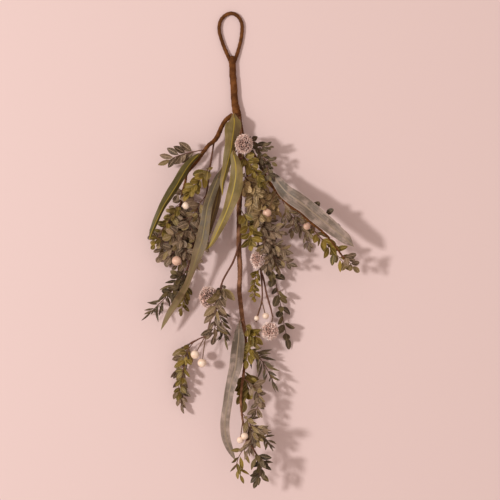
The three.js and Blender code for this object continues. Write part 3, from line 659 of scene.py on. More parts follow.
# %% [markdown]
# ## The branches
#
# Three branches are taped like the handle. The other three are bare moulded twigs, so
# they get no tape step, only lumps and a streaky bark. Where one branch sits on
# another, its first place is worked out: the point of the carrying branch at a given
# height, moved out by both radii.

# %% The six branches
GAP = 0.45  # between a piece and the branch that carries it
TWIG = (0.95, 0.6)  # a twig's radius at its root and at its tip
STALK = 0.85  # radius of the stalk of a berry, head or ribbon leaf
OVER, UNDER = 1, -1  # the side of the carrying branch that a stem leaves from
# Rows of: name, finish, radii spread evenly along it, the branch that it sits on with the
# height and the side, its route, and the route of its fork.
BRANCH_ROWS = [
    ("left", "bark", (3.7, 3.4, 3, 2.4, 1.9, 1.5), None,
     [(-26.5, 200.5, 6), (-39, 189, 12), (-51, 164, 18), (-64, 152, 20), (-81, 128, 22),
      (-95, 112, 22), (-97, 100, 21), (-102, 80, 18), (-105, 62, 15)],
     []),
    ("left_inner", "redBark", (1.5, 1.2), ("left", 161, UNDER),
     [(-57, 142, 14), (-60, 122, 16), (-66, 80, 17), (-79, 34, 17), (-89, -8, 17), (-95, -38, 18),
      (-96, -50, 19)],
     []),
    ("centre", "bark", (4, 4, 3.9, 3.7, 3.3, 2.6, 1.8, 1.5, 1.3, 1.1), None,
     [(-20, 202, 8), (-17.5, 188, 10.5), (-15, 150, 14), (-15, 101, 15), (-16.5, 50, 16),
      (-16.5, -4, 17), (-15, -34, 18), (-16, -64, 20), (-13, -94, 22), (-8, -130, 25),
      (-6, -154, 28), (-10, -191, 32), (-13.5, -221, 36), (-12, -251, 40), (-5, -284, 46),
      (3, -298, 49), (10, -310, 50), (12, -330, 50), (9, -345, 50)],
     []),
    ("right", "bark", (2.1, 1.9, 1.8, 1.2), None,
     [(-15.5, 202, 3.2), (-13.5, 186, 3.2), (-10, 170, 5), (-1, 153, 12), (11, 132, 19),
      (24, 108, 24), (37, 87, 27), (60, 62, 31), (75, 53, 34), (90, 38, 38), (112, 20, 43),
      (129, -1, 47), (142, -19, 49)],
     []),
    ("middle", "redBark", (1.7, 1.2), ("centre", 160, UNDER),
     [(-7, 124, 5.5), (1, 80, 7), (9, 34, 10), (13, -4, 14), (16, -34, 20), (18, -56, 25),
      (18, -79, 27), (13, -97, 27), (9, -112, 26)],
     [(16, -34, 20), (20.5, -48, 22), (25, -70, 24), (31, -91, 27), (34, -104, 29)]),
    ("side", "redBark", (1.7, 1.2), ("centre", 6, OVER),
     [(-21, -10, 25), (-27, -25, 27), (-34, -37, 28), (-42, -53, 29), (-52, -86, 30),
      (-60, -112, 28), (-66, -131, 25), (-78, -138, 22), (-90, -145, 20)],
     []),
]
BRANCHES = {
    "branch_" + name: dict(finish=finish, radii=radii, on=on, route=route, fork=fork)
    for name, finish, radii, on, route, fork in BRANCH_ROWS
}


def stem_route(route, radius, on=None):
    """The places of a stem, with its root set on a branch where it starts on one.

    The root is the carrying curve's point nearest that height, moved up or down by the
    branch's radius + the stem's own radius + the gap.
    """
    if on is None:
        return [tuple(place) for place in route]
    name, height, lift = on
    branch = BRANCHES["branch_" + name]
    carrier = branch_route(branch)
    u = np.arange(0, 1, 0.005)
    nearest = u[np.abs(curve_at(carrier, u)[:, 1] - height).argmin()]
    root, (_, up) = curve_at(carrier, nearest)[0], cross_axes(tangent_at(carrier, nearest))
    out = value_along(branch["radii"], nearest) + radius + GAP
    return [tuple(root + up[0] * lift * out)] + [tuple(place) for place in route]


def branch_route(branch):
    return stem_route(branch["route"], branch["radii"][0], branch["on"])


def make_branch(name, branch):
    """The radii start a little low, because the tape's step and the lumps add to them."""
    taped = branch["finish"] == "bark"
    winding = dict(pitch=6, step=0.4, lump=0.3) if taped else dict(lump=0.16)
    corners = 18 if taped else 12
    radii = [radius - 0.2 if taped else radius * 0.95 for radius in branch["radii"]]
    seed = len(name)
    skins = [stem_skin(branch_route(branch), radii, corners, 0.9, seed=seed, **winding)]
    if branch["fork"]:
        skins.append(stem_skin(branch["fork"], radii, corners, 0.9, seed=seed + 1, **winding))
    finish = "paleBark" if name == "branch_centre" else branch["finish"]
    return add_piece(name, skins, [FINISHES[finish]] * len(skins))


for name, branch in BRANCHES.items():
    make_branch(name, branch)
    print(name, round(spline_length(branch_route(branch))), "mm long")

# %% [markdown]
# ## Long ribbon leaves
#
# These are eucalyptus leaves cut from printed fabric, up to 250 mm long, with a wire
# along the midrib that lets them droop and twist. A flat strip with a picture would
# look dead, so each leaf is a surface of two numbers: how far along it lies, and how
# far across from -1 to 1. Its width and roll come from a few rows, and the edges
# rise and ripple. The top and the underside are one closed ring round the section.

# %% The seven ribbon leaves
RISING = -7  # degrees that the halves of a flat leaf rise from its midrib
# Rows of: name, finish, carrying branch, the slope of its halves, the way of its stalk, and
# the blade: x, y and z of the midrib, half width, and roll in degrees about the midrib.
RIBBON_ROWS = [
    ("left_outer", "olive", ("left", 141, OVER), 28, [],
     [(-75, 141, 27, 1, 0), (-78.5, 138, 30, 3.5, -10), (-87, 129, 35, 6, -25),
      (-95, 118, 40, 7.5, -30), (-102, 106, 43, 8.5, -30), (-110, 92, 45, 9, -30),
      (-119, 78, 45, 8.5, -30), (-128, 64, 44, 7.5, -30), (-135, 50, 42, 6, -28),
      (-142, 35, 39, 5, -25), (-147.5, 22, 36, 3.5, -20), (-151, 11, 33, 0, 0)]),
    ("top", "olive", ("left", 198, OVER), 24, [],
     [(-24, 202, 16, 1, 0), (-24, 195, 25, 6.5, 0), (-23.5, 187, 31, 13, -12),
      (-24.5, 176, 36, 14, -24), (-26.5, 161, 40, 11.5, -24), (-28.5, 146, 42, 10, -26),
      (-32, 131, 42, 8, -28), (-36, 116, 41, 6.5, -28), (-41, 96, 39, 4, -15),
      (-41, 77, 36, 0, 0)]),
    ("middle", "olive", ("centre", 155, OVER), 20, [(-18.5, 147, 30), (-21.5, 144, 39)],
     [(-24.5, 145, 45.5, 1, 0), (-24.5, 138, 49, 5, 0), (-21.5, 124, 52, 8, 12),
      (-21, 109, 54, 10.5, 20), (-23, 94, 54, 11.5, 20), (-26.5, 78, 53, 11.5, 20),
      (-32.5, 60, 50, 9.5, 20), (-39.5, 43, 47, 7.5, 15), (-47.5, 26, 44, 6, 5),
      (-55, 11, 41, 4.5, 0), (-61, 2, 39, 3, 0), (-67, -4, 37, 0, 0)]),
    ("right", "sage", ("right", 112, OVER), RISING, [(27, 113, 29)],
     [(32, 113, 33, 1, 0), (38, 103, 38, 7, 10), (46, 92, 43, 9.5, 14), (55, 82, 47, 11, 14),
      (67, 73, 52, 12, 5), (81, 63, 53, 12, -6), (95, 51, 56, 12, -10), (112, 37.5, 58, 11.5, 2),
      (124, 28, 57, 10.5, 14), (134, 20, 58, 9.5, 18), (144, 11.5, 58, 7.5, 8),
      (154.5, 1, 55, 0, 0)]),
    ("low", "sage", ("centre", -104, OVER), RISING, [],
     [(-15, -110, 28, 1, 0), (-16.5, -122, 33, 5, 0), (-17, -136, 37, 8.5, -5),
      (-18.5, -150, 41, 10, -8), (-20, -165, 43, 10, -5), (-22, -180, 45, 9.5, 0),
      (-26, -195, 46, 8.5, 5), (-30, -212, 46, 7.5, 10), (-33, -230, 45, 7, 10),
      (-36, -248, 43, 7, 6), (-37.5, -266, 41, 7, 0), (-35.5, -286, 39, 6.5, 0),
      (-29, -304, 38, 4.5, 0), (-21, -320, 38, 0, 0)]),
    ("left_inner", "sage", ("centre", 136, OVER), RISING, [(-24, 131, 24), (-34, 125, 28)],
     [(-42, 118, 28.5, 1, 0), (-48, 104, 31, 5, 0), (-56, 84, 35, 6.5, 0), (-63, 62, 38, 7, 5),
      (-67, 38, 40, 8, 10), (-71, 14, 41, 9, 10), (-77, -6, 41, 8.5, 5), (-83, -24, 40, 6, -5),
      (-90, -43, 39, 4.5, -25), (-97, -59, 38, 5, -30), (-106, -74, 36, 5.5, -20),
      (-113, -86, 34, 5, -10), (-121, -98, 32, 4.5, 0), (-128, -112, 30, 3, 0),
      (-134, -124.5, 28, 0, 0)]),
    ("behind", "olive", ("centre", 149, OVER), RISING, [(-22, 143, 19.5), (-31, 135, 21.5)],
     [(-37, 128, 23, 1, 0), (-42, 112, 23.5, 4.5, 0), (-46, 92, 25, 6, 8), (-50, 70, 26, 6, 0),
      (-56, 46, 27, 5, -5), (-62, 24, 27, 3.5, 0), (-66, 8, 26, 0, 0)]),
]
RIBBONS = {
    "ribbon_" + name: dict(finish=finish, on=on, fold=fold, stalk=stalk, rows=rows)
    for name, finish, on, fold, stalk, rows in RIBBON_ROWS
}


def ribbon_skin(rows, fold, seed, stations=150, across=11):
    """A thin closed blade along its rows.

    share runs across from -1 to 1. Side = share * half width * cos fold. Rise = half
    width * (ripple - sin fold * |share|), where the ripple is a sine along the leaf that
    grows with share^2 and differs on the two edges. A groove runs down the midrib, and
    the thickness fades to nothing at the edges.
    """
    rows = np.asarray(rows, float)
    u = np.linspace(0, 1, stations)[:-1]
    values = curve_at(rows, u)
    centres, half, roll = values[:, :3], np.maximum(values[:, 3], 0.35), np.radians(values[:, 4])
    tangents = tangent_at(rows[:, :3], u)
    side, up = rolled(*cross_axes(tangents), roll)
    slope = np.radians(fold) * np.clip(u[:, None] * (len(rows) - 1), 0, 1)
    share = np.linspace(1, -1, across)
    ring = np.concatenate([share, share[-2:0:-1]])
    face = np.concatenate([np.ones(across), -np.ones(across - 2)])
    along = u[:, None] * spline_length(rows[:, :3])
    a, b = np.random.default_rng(seed).uniform(0, 6, 2)
    ripple = np.where(ring > 0, np.sin(along / 6.1 + a), np.sin(along / 7.3 + b))
    ripple = ripple * 0.09 + 0.10 * np.sin(along / 13 + a + b + 2 * ring)
    bent = np.sqrt(ring**2 + 0.01) - 0.1
    rise = half[:, None] * (ripple * ring**2 - np.sin(slope) * bent)
    rise = rise - 0.3 * np.exp(-((half[:, None] * ring / 0.7) ** 2))
    thick = face * (0.22 * (1 - ring**4) + 0.25 * np.exp(-((half[:, None] * ring / 0.8) ** 2)))
    offset = (half[:, None] * ring * np.cos(slope))[..., None] * side[:, None]
    rings = centres[:, None] + offset + (rise + thick)[..., None] * up[:, None]
    marks = np.stack(np.broadcast_arrays(along, half[:, None] * ring, ring[None]), -1)
    return closed_skins(rings[None], centres[:1] - tangents[:1] * 0.2, rows[-1:, :3], marks[None])


LOOKS = dict(
    ribbon_left_outer="deepOlive", ribbon_behind="brownOlive", ribbon_left_inner="shadedSage",
)


def ribbon_stalk(ribbon):
    """The stalk's route ends inside the blade, at the blade's second row."""
    inside = [row[:3] for row in ribbon["rows"][:2]]
    return stem_route([*ribbon["stalk"], *inside], STALK, ribbon["on"])


def stalk_skin(route, end, seed, spacing=1.2):
    return stem_skin(route, [STALK, end], 8, spacing, lump=0.06, seed=seed)


def make_ribbon(name, ribbon, seed):
    rows = ribbon["rows"]
    blade = ribbon_skin(rows, ribbon["fold"], seed)
    stalk = stalk_skin(ribbon_stalk(ribbon), 0.6, seed)
    finish = LOOKS.get(name, ribbon["finish"])
    add_piece(name, [blade, stalk], [FINISHES[finish], FINISHES["stalk"]])
    return spline_length([row[:3] for row in rows])


for seed, (name, ribbon) in enumerate(RIBBONS.items()):
    print(name, round(make_ribbon(name, ribbon, seed)), "mm long")

# %% [markdown]
# ## Flower heads
#
# Each head is a ball packed with small curled florets, dipped in glitter. Copies of
# one floret stand all over an ellipsoid. To spread them evenly without a pattern of
# rows, each next one turns by the golden angle, as the seeds of a sunflower do. A floret
# is a stack of rings as well: the rings run out along its underside to the frilled rim
# and back in over the top.

# %% The four flower heads
# Rows of: name, centre, half sizes, carrying branch (one sits on a fork), way of its stalk.
HEAD_ROWS = [
    ("top", (-9, 154, 47), (12.5, 14.5, 12.5), ("centre", 168, OVER), [(-11, 163, 27)]),
    ("left", (-61.5, -75, 42), (14, 17, 13), ("side", -72, OVER), [(-52, -76, 36)]),
    ("middle", (12.5, -17, 32), (11, 14.5, 11), ("middle", -12, OVER), [(13, -14, 22)]),
    ("low", (29, -125, 36), (13, 13, 13), None, [(34.2, -104.9, 29.1)]),
]
HEADS = {
    "head_" + name: dict(centre=centre, size=size, on=on, stalk=stalk)
    for name, centre, size, on, stalk in HEAD_ROWS
}
FLORETS = 116
FLORET = 2.6  # radius of a middling floret
CORE = 0.72  # the core's size as a share of the head's
HEART = 0.2  # the mark that gives the core the brown of a floret's heart
# Heads that take the paler floret, which is partly their own tint and partly painted light.
DUSTY_PALE_LIT = ("head_low", "head_middle")
INTO_FORK = 1.4  # how far a stalk runs back into the fork that it grows on


def golden_directions(count):
    """Unit vectors spread over a sphere: equal steps of height, and a golden turn each."""
    i = np.arange(count)
    height = 1 - (2 * i + 1) / count
    turn = i * np.pi * (3 - math.sqrt(5))
    ring = np.sqrt(1 - height**2)
    return np.stack([ring * np.cos(turn), ring * np.sin(turn), height], -1)


def floret_skins(places, outward, size, seed):
    """A cup with five pointed lobes at each place, opening along its outward direction.

    The rings run out along the underside to the rim and back over the top, so their
    share of the radius rises to 1 and falls. Radius = size * share * (1 + lobe cos 5
    turn), and the lobes are longest at the rim. Height = size * (1.15 share^2 + 0.16
    share^3 cos 5 turn + a little below or above for the wall's two sides).
    """
    draw = np.random.default_rng(seed)
    n = len(places)
    share = np.array([0.28, 0.7, 1.0, 0.74, 0.28])
    wall = np.array([-0.10, -0.08, 0.0, 0.07, 0.05])
    corners = 10
    turn = 2 * np.pi * np.arange(corners) / corners
    lean = unit(outward + draw.normal(0, 0.26, (n, 3)))
    side = unit(np.cross(lean, unit(draw.normal(0, 1, (n, 3)))))
    up = np.cross(lean, side)
    sizes = size * draw.uniform(0.75, 1.25, n)
    lobes = np.cos(5 * turn)[None] * np.array([0, 0.2, 0.42, 0.24, 0])[:, None]
    radius = share[:, None] * (1 + lobes)
    frill = 0.16 * share[:, None] ** 3 * np.cos(5 * turn + 0.6)
    height = 1.15 * share[:, None] ** 2 + frill + wall[:, None]
    spoke = side[:, None] * np.cos(turn)[:, None] + up[:, None] * np.sin(turn)[:, None]
    scale = sizes[:, None, None, None]
    rings = places[:, None, None] + scale * radius[None, ..., None] * spoke[:, None]
    rings = rings + scale * height[None, ..., None] * lean[:, None, None]
    start, end = (places + lean * (sizes * rise)[:, None] for rise in (-0.12, 0.05))
    tint = draw.uniform(0, 1, n)[:, None, None]
    marks = np.stack(np.broadcast_arrays(share[None, :, None], turn[None, None], tint), -1)
    return closed_skins(rings, start, end, marks)


def ball_skin(centre, size, axis, rings=14, corners=24, dimple=0.0, nub=0.0):
    """A ball whose poles lie on an axis: radius = sin(angle), height = -cos(angle).

    A dimple pulls the skin in about the start pole, and a nub pushes it out at the end.
    """
    side, up = cross_axes(np.asarray([axis], float))
    angle = np.linspace(0, np.pi, rings + 2)[1:-1]
    height = -np.cos(angle) + dimple * np.exp(-((angle / 0.35) ** 2))
    height = height + nub * np.exp(-(((np.pi - angle) / 0.16) ** 2))
    turn = 2 * np.pi * np.arange(corners) / corners
    spoke = side * np.cos(turn)[:, None] + up * np.sin(turn)[:, None]
    local = np.sin(angle)[:, None, None] * spoke + height[:, None, None] * np.asarray(axis)
    start, end = (
        (np.asarray(centre) + np.asarray(axis) * h * size)[None] for h in (dimple - 1, 1 + nub)
    )
    far = np.broadcast_to((angle / np.pi)[:, None], (rings, corners))
    marks = np.stack(np.broadcast_arrays(far, turn, 0.5), -1)
    return closed_skins((np.asarray(centre) + local * size)[None], start, end, marks[None])


def head_stalk(head):
    return stem_route([*head["stalk"], head["centre"]], STALK, head["on"])


def make_head(name, head, seed):
    centre, size = np.array(head["centre"], float), np.array(head["size"], float)
    directions = golden_directions(FLORETS)
    outward = unit(directions / size)
    depth = np.random.default_rng(seed).uniform(0.70, 0.82, (FLORETS, 1))
    florets = floret_skins(centre + directions * size * depth, outward, FLORET, seed)
    core = ball_skin(centre, size * CORE, (0, 1, 0))
    core["marks"][:, 0] = HEART
    route = head_stalk(head)
    if head["on"] is None:
        first, second = np.array(route[0]), np.array(route[1])
        route[0] = tuple(first - unit(second - first) * INTO_FORK)
    stalk = stalk_skin(route, STALK, seed)
    dust = FINISHES["paleLitFloret" if name in DUSTY_PALE_LIT else "floret"]
    add_piece(name, [florets, core, stalk], [dust, dust, FINISHES["stalk"]])


for seed, (name, head) in enumerate(HEADS.items()):
    make_head(name, head, 40 + seed)
print("flower heads:", len(HEADS), "with", FLORETS, "florets each")

# %% [markdown]
# ## Berries
#
# A berry is a moulded ball, but its two ends give it life: it is drawn in where the
# stalk enters, and carries a small brown dot at the far end. The rings run from one end
# to the other, so both are easy to shape.

# %% The ten berries
# The branch that the stalks leave, and each berry: its place and radius.
BERRIES = {
    "berry_left_upper": (("left", 74, OVER), [(-96, 63, 27, 5.8)]),
    "berry_left_lower": (("left_inner", -8, OVER), [(-110, -20, 27, 7.3)]),
    "berry_crown": (("right", 84, OVER), [(25.5, 52, 34, 6.6)]),
    "berry_right": (("right", 50, UNDER), [(85.5, 32, 24, 5.4)]),
    "berries_middle": (("middle", -80, OVER), [(23.5, -102.5, 33, 4.9), (10, -106, 33, 4)]),
    "berries_side": (("side", -131, OVER), [(-82.5, -160.5, 30, 6.5), (-72, -173, 30, 6.7)]),
    "berries_low": (("centre", -260, OVER), [(-8, -280.5, 56, 5.4), (-14.5, -287, 49.5, 5.2)]),
}

# Berries that take the pinker, darker copy, which is partly their own blush and partly painted
# shade.
BLUSHED_AND_SHADED = ["berry_left_lower", "berry_right", "berry_crown"]


def berry_stalks(name):
    """Each berry's radius, and its stalk's root, middle and end, the middle raised by 1 mm."""
    on, berries = BERRIES[name]
    root = stem_route([], STALK, on)[0]
    for x, y, z, radius in berries:
        yield radius, [root, tuple((np.array(root) + (x, y, z)) / 2 + (0, 0, 1)), (x, y, z)]


def make_berries(name, seed):
    berries, stalks = [], []
    for radius, route in berry_stalks(name):
        axis = unit(np.array(route[2]) - route[1])
        berries.append(ball_skin(route[2], radius, axis, 22, 32, dimple=0.12, nub=0.05))
        stalks.append(stalk_skin(route, 0.7, seed, spacing=1.0))
    wax = FINISHES["blushedShadedBerry" if name in BLUSHED_AND_SHADED else "berry"]
    finishes = [wax] * len(berries) + [FINISHES["stalk"]] * len(stalks)
    add_piece(name, berries + stalks, finishes)
    return len(berries)


print("berries:", sum(make_berries(name, seed) for seed, name in enumerate(BERRIES)))

# %% [markdown]
# ## Leafy sprigs
#
# Thirty-five sprigs carry pairs of leaves. On the real spray no two leaves point the
# same way, yet none passes through another. Random scattering gives the first without
# the second, so each leaf here tries its random pose, and where it would come too
# close to something it bends a little and tries again.
#
# The random numbers come from a small generator with a fixed seed for each sprig.
# The solids used the same one, so the same leaves come out.

# %% Sprig tables
LEAF_KINDS = {
    "round": dict(length=16.5, width=10.5, spread=52),
    "oval": dict(length=20.5, width=9.5, spread=45),
    "long": dict(length=26, width=8, spread=34),
    "broad": dict(length=20.5, width=13, spread=50),
    "small": dict(length=15.5, width=8, spread=48),
    "narrow": dict(length=24, width=5, spread=34),
}
# Rows of: name, finish, kind of leaf, pairs, size, seed, carrying branch, way of the twig.
SPRIG_ROWS = [
    ("upper_left", "grey", "oval", 4, 1.2, 11, ("left", 147, OVER),
     [(-88, 143, 29), (-106, 138, 33), (-119, 132, 34)]),
    ("left_yellow", "yellow", "broad", 5, 0.92, 12, ("left_inner", 126, OVER),
     [(-64, 116, 27), (-73, 104, 31), (-84, 92, 33), (-92, 80, 34)]),
    ("left_back", "grey", "round", 6, 1, 13, ("left", 104, UNDER),
     [(-98, 90, 12), (-105, 68, 9), (-114, 46, 6.5), (-124, 28, 5), (-132, 12, 4.5)]),
    ("left_middle", "grey", "round", 6, 1.15, 14, ("left_inner", 78, OVER),
     [(-74, 68, 24), (-86, 48, 26), (-97, 26, 27), (-108, 4, 26), (-120, -16, 22)]),
    ("left_low", "grey", "round", 6, 1.1, 15, ("left_inner", 70, UNDER),
     [(-66, 56, 10), (-74, 34, 7), (-82, 12, 5), (-92, -10, 5), (-101, -30, 6)]),
    ("left_front", "yellow", "broad", 5, 0.72, 16, ("left", 70, OVER),
     [(-110, 56, 22), (-122, 40, 25), (-134, 22, 25), (-144, 4, 22)]),
    ("left_outer", "grey", "round", 5, 1.1, 17, ("left", 64, OVER),
     [(-108, 50, 15), (-116, 30, 14), (-126, 8, 13), (-136, -14, 12)]),
    ("left_narrow", "dark", "narrow", 7, 1, 18, ("left_inner", -42, OVER),
     [(-106, -48, 25), (-118, -60, 26), (-128, -76, 25), (-138, -86, 24), (-148, -96, 23)]),
    ("left_tail", "yellow", "small", 4, 1, 19, ("left_inner", -46, UNDER),
     [(-97, -62, 12), (-99, -78, 10), (-103, -94, 9)]),
    ("left_dark", "dark", "round", 4, 1, 20, ("left_inner", -28, OVER),
     [(-99, -42, 30), (-106, -56, 31), (-111, -70, 29)]),
    ("crown_dark", "dark", "small", 6, 1, 21, ("right", 172, OVER),
     [(4, 160, 24), (14, 144, 29), (23, 128, 33), (28, 115, 36)]),
    ("crown_yellow", "yellow", "broad", 6, 0.8, 22, ("centre", 142, OVER),
     [(-8, 134, 32), (2, 122, 37), (12, 108, 38), (19, 96, 38)]),
    ("crown_grey", "grey", "round", 6, 1.15, 23, ("centre", 118, OVER),
     [(-6, 104, 26), (6, 86, 29), (18, 66, 28), (26, 48, 26)]),
    ("crown_back", "grey", "round", 5, 1, 24, ("middle", 108, OVER),
     [(2, 98, 15), (14, 86, 15), (28, 70, 14), (40, 56, 13)]),
    ("centre_yellow", "yellow", "broad", 5, 0.98, 25, ("centre", 62, OVER),
     [(-10, 50, 34), (-3, 36, 38), (0, 20, 39), (1, 6, 37)]),
    ("column", "grey", "oval", 6, 0.98, 26, ("middle", 66, OVER),
     [(14, 56, 16), (26, 36, 18), (34, 4, 18), (38, -28, 16)]),
    ("column_low", "dark", "round", 5, 1.3, 45, ("middle", -8, OVER),
     [(24, -18, 22), (36, -44, 17), (44, -76, 13), (50, -108, 9), (56, -138, 7)]),
    ("column_front", "grey", "oval", 5, 0.95, 27, ("middle", 40, OVER),
     [(18, 30, 24), (28, 14, 29), (34, -8, 31), (42, -34, 30)]),
    ("middle_yellow", "yellow", "small", 6, 0.8, 28, ("middle", -30, OVER),
     [(10, -40, 26), (7, -56, 28), (7, -76, 27)]),
    ("right_under", "grey", "oval", 6, 0.85, 29, ("right", 76, UNDER),
     [(54, 60, 18), (66, 44, 12), (78, 30, 8), (92, 20, 6)]),
    ("right_upper", "dark", "round", 2, 1, 30, ("right", 56, OVER),
     [(86, 58, 40), (100, 56, 43), (118, 46, 45), (128, 36, 46)]),
    ("right_yellow", "yellow", "oval", 5, 1.08, 31, ("right", 38, UNDER),
     [(99, 22, 34), (114, 6, 38), (128, -9, 41), (142, -25, 43)]),
    ("right_tip", "grey", "round", 3, 1, 46, ("right", -14, OVER),
     [(142, -14, 54), (148, -22, 54), (152, -28, 53)]),
    ("side_grey", "grey", "oval", 7, 1.2, 33, ("side", -50, OVER),
     [(-43, -62, 45), (-48, -80, 54), (-51, -104, 48), (-54, -132, 37)]),
    ("side_narrow", "dark", "narrow", 5, 1, 34, ("side", -84, UNDER),
     [(-46, -100, 20), (-42, -118, 18), (-38, -136, 17)]),
    ("lower_left", "grey", "oval", 6, 1.08, 35, ("side", -138, UNDER),
     [(-92, -146, 14), (-104, -168, 11), (-109, -196, 7), (-107, -220, 5), (-104, -236, 5)]),
    ("lower_left_yellow", "yellow", "small", 5, 1.1, 36, ("side", -142, OVER),
     [(-94, -156, 24), (-99, -178, 24), (-104, -202, 21), (-107, -220, 18)]),
    ("lower_yellow", "yellow", "oval", 6, 1.12, 37, ("centre", -112, OVER),
     [(-4, -122, 31), (3, -134, 34), (0, -152, 36), (-6, -168, 38)]),
    ("lower_narrow", "dark", "narrow", 7, 1, 38, ("centre", -150, UNDER),
     [(4, -158, 22), (16, -168, 22), (26, -184, 22), (36, -204, 22)]),
    ("lower_broad", "yellow", "broad", 4, 1.2, 39, ("centre", -182, UNDER),
     [(-8, -194, 24), (-4, -208, 23), (-8, -230, 24)]),
    ("lower_grey", "grey", "oval", 5, 0.92, 48, ("centre", -196, OVER),
     [(4, -206, 40), (12, -218, 41), (13, -234, 41), (7, -247, 44)]),
    ("bottom_grey", "grey", "long", 4, 0.95, 41, ("centre", -246, OVER),
     [(-3, -258, 47), (4, -272, 49), (9, -288, 56)]),
    ("bottom_narrow", "dark", "narrow", 6, 0.9, 47, ("centre", -262, UNDER),
     [(1, -270, 37), (11, -276, 36), (21, -284, 35), (30, -294, 34)]),
    ("bottom_yellow", "yellow", "long", 4, 0.85, 43, ("centre", -284, OVER),
     [(-9, -298, 54), (-17, -312, 56), (-20, -326, 55), (-15, -338, 53)]),
    ("bottom_tip", "dark", "oval", 5, 1.02, 44, ("centre", -302, OVER),
     [(13, -312, 56), (16, -326, 57), (11, -343, 55)]),
]
SPRIG_KEYS = ("finish", "leaf", "pairs", "size", "seed", "on", "route")
SPRIGS = {"sprig_" + name: dict(zip(SPRIG_KEYS, row)) for name, *row in SPRIG_ROWS}

# %% What is taken, and whether a leaf has room
MARGIN = 1.45  # half the room that a leaf keeps to other pieces
RIBBON_ROOM = 1.5  # half the room that a ribbon leaf takes
RIBBON_HALF = 0.85  # half the thickness of a ribbon leaf's solid
FLOOR_ROOM = 0.3  # how close to the floor a leaf may come
REACH = 45  # pieces further than this from a leaf's root can't touch it
SUB_OPPOSITE = 0.09  # how far a pair's leaves stand apart, as a share of the spacing
OFF_AXIS = 0.3  # how far from its twig's axis a leaf starts
TWIG_STEPS = 2  # straight pieces of a twig in each span of its route
TAKEN_STEP = 2.5  # between two places that a route takes
NAMES = ["hanging_loop", *BRANCHES, *RIBBONS, *HEADS, *BERRIES, *SPRIGS]

taken = []  # rows of: owner's number, x, y, z, radius, 1 for a twig


def take(owner, places, radii, is_twig=False):
    """Keeps the places that a piece fills, each with the radius it fills there."""
    places = np.atleast_2d(places)
    rows = np.empty((len(places), 6))
    rows[:, 0], rows[:, 1:4], rows[:, 4] = NAMES.index(owner), places, radii
    rows[:, 5] = is_twig
    taken.append(rows)


def take_route(owner, places, radii, is_twig=False):
    steps = math.ceil(spline_length(places) / TAKEN_STEP)
    u = np.arange(steps + 1) / steps
    take(owner, curve_at(places, u), value_along(radii, u), is_twig)


def take_ribbon(owner, rows, fold):
    """Points over a blade: five along each span and seven across, edge to midrib to edge."""
    rows = np.asarray(rows, float)
    tangents = tangent_at(rows[:, :3], np.arange(len(rows) - 1) / (len(rows) - 1))
    side, up = rolled(*cross_axes(tangents), np.radians(rows[:-1, 4]))
    middles, half, tip = rows[:-1, :3], rows[:-1, 3, None], rows[-1:, :3]
    slope = np.radians(fold) * (np.arange(len(half)) > 0)[:, None]
    edges = [
        middles + half * (way * np.cos(slope) * side - np.sin(slope) * up) for way in (1, -1)
    ]
    midrib = middles + RIBBON_HALF * up
    along = np.arange(0, 1, 0.2)[:, None, None]
    lines = [np.concatenate([line, tip]) for line in (edges[0], midrib, edges[1])]
    right, middle, left = (line[:-1] + along * (line[1:] - line[:-1]) for line in lines)
    for edge in (right, left):
        for across in (0, 1 / 3, 2 / 3):
            take(owner, (edge + across * (middle - edge)).reshape(-1, 3), RIBBON_ROOM)
    take(owner, middle.reshape(-1, 3), RIBBON_ROOM)


def has_room(near, owner, points, margin):
    """True if the points stay above the floor and off all that is taken near them."""
    if points[:, 2].min() < FLOOR_ROOM:
        return False
    room = np.where(near[:, 0] == owner, margin, margin + near[:, 4] + GAP)
    apart = ((near[:, None, 1:4] - points[None]) ** 2).sum(-1)
    return bool((apart > room[:, None] ** 2).all())


def neighbours(root, owner):
    """The taken places within reach of a leaf's root, without the sprig's own twig."""
    rows = np.concatenate(taken)
    apart = ((rows[:, 1:4] - root) ** 2).sum(-1)
    own_twig = (rows[:, 0] == owner) & (rows[:, 5] == 1)
    return rows[(apart <= (REACH + rows[:, 4]) ** 2) & ~own_twig]


# %% [markdown]
# ## Posing the leaves
#
# A leaf's pose is three angles. Its heading turns it away from the twig in the floor's
# plane, its pitch lifts it off the floor and its roll turns its face. From the angles
# come three directions square to each other: along the leaf, to its side and out of
# its face. Bending towards the tip is then one term: the face direction times the
# distance squared.

# %% Poses and bends
# What a leaf tries in turn: its scale, then degrees that it turns up and to the side.
BENDS = [
    (scale, pitch, yaw)
    for scale in (1, 0.8)
    for pitch in (0, 14, -14, 28, -28, 42, -42)
    for yaw in (0, 18, -18)
]
SAMPLES = np.array([(1, 0)] + [(t, u) for t in (0.32, 0.5, 0.68, 0.86) for u in (-0.42, 0, 0.42)])


def random_from(seed):
    """The mulberry32 generator: each call adds a constant, then mixes by shifts and products."""
    state = seed

    def draw():
        nonlocal state
        state = (state + 0x6D2B79F5) & 0xFFFFFFFF
        mixed = ((state ^ state >> 15) * (1 | state)) & 0xFFFFFFFF
        mixed = ((mixed + (mixed ^ mixed >> 7) * (61 | mixed)) & 0xFFFFFFFF) ^ mixed
        return (mixed ^ mixed >> 14) / 4294967296

    return draw


def leaf_axes(heading, pitch, roll):
    """Unit directions along the leaf, to its side and out of its face."""
    along = np.array([
        math.cos(pitch) * math.cos(heading), math.cos(pitch) * math.sin(heading), math.sin(pitch),
    ])
    level = np.array([math.sin(heading), -math.cos(heading), 0])
    upper = np.cross(level, along)
    side = level * math.cos(roll) + upper * math.sin(roll)
    face = upper * math.cos(roll) - level * math.sin(roll)
    return along, side, face


def leaf_samples(root, axes, length, width, curl):
    """Thirteen places over a leaf: root + along L t - face curl L t^2 + side W u."""
    t, u = SAMPLES[:, :1], SAMPLES[:, 1:]
    along, side, face = axes
    return root + along * length * t - face * curl * length * t * t + side * width * u


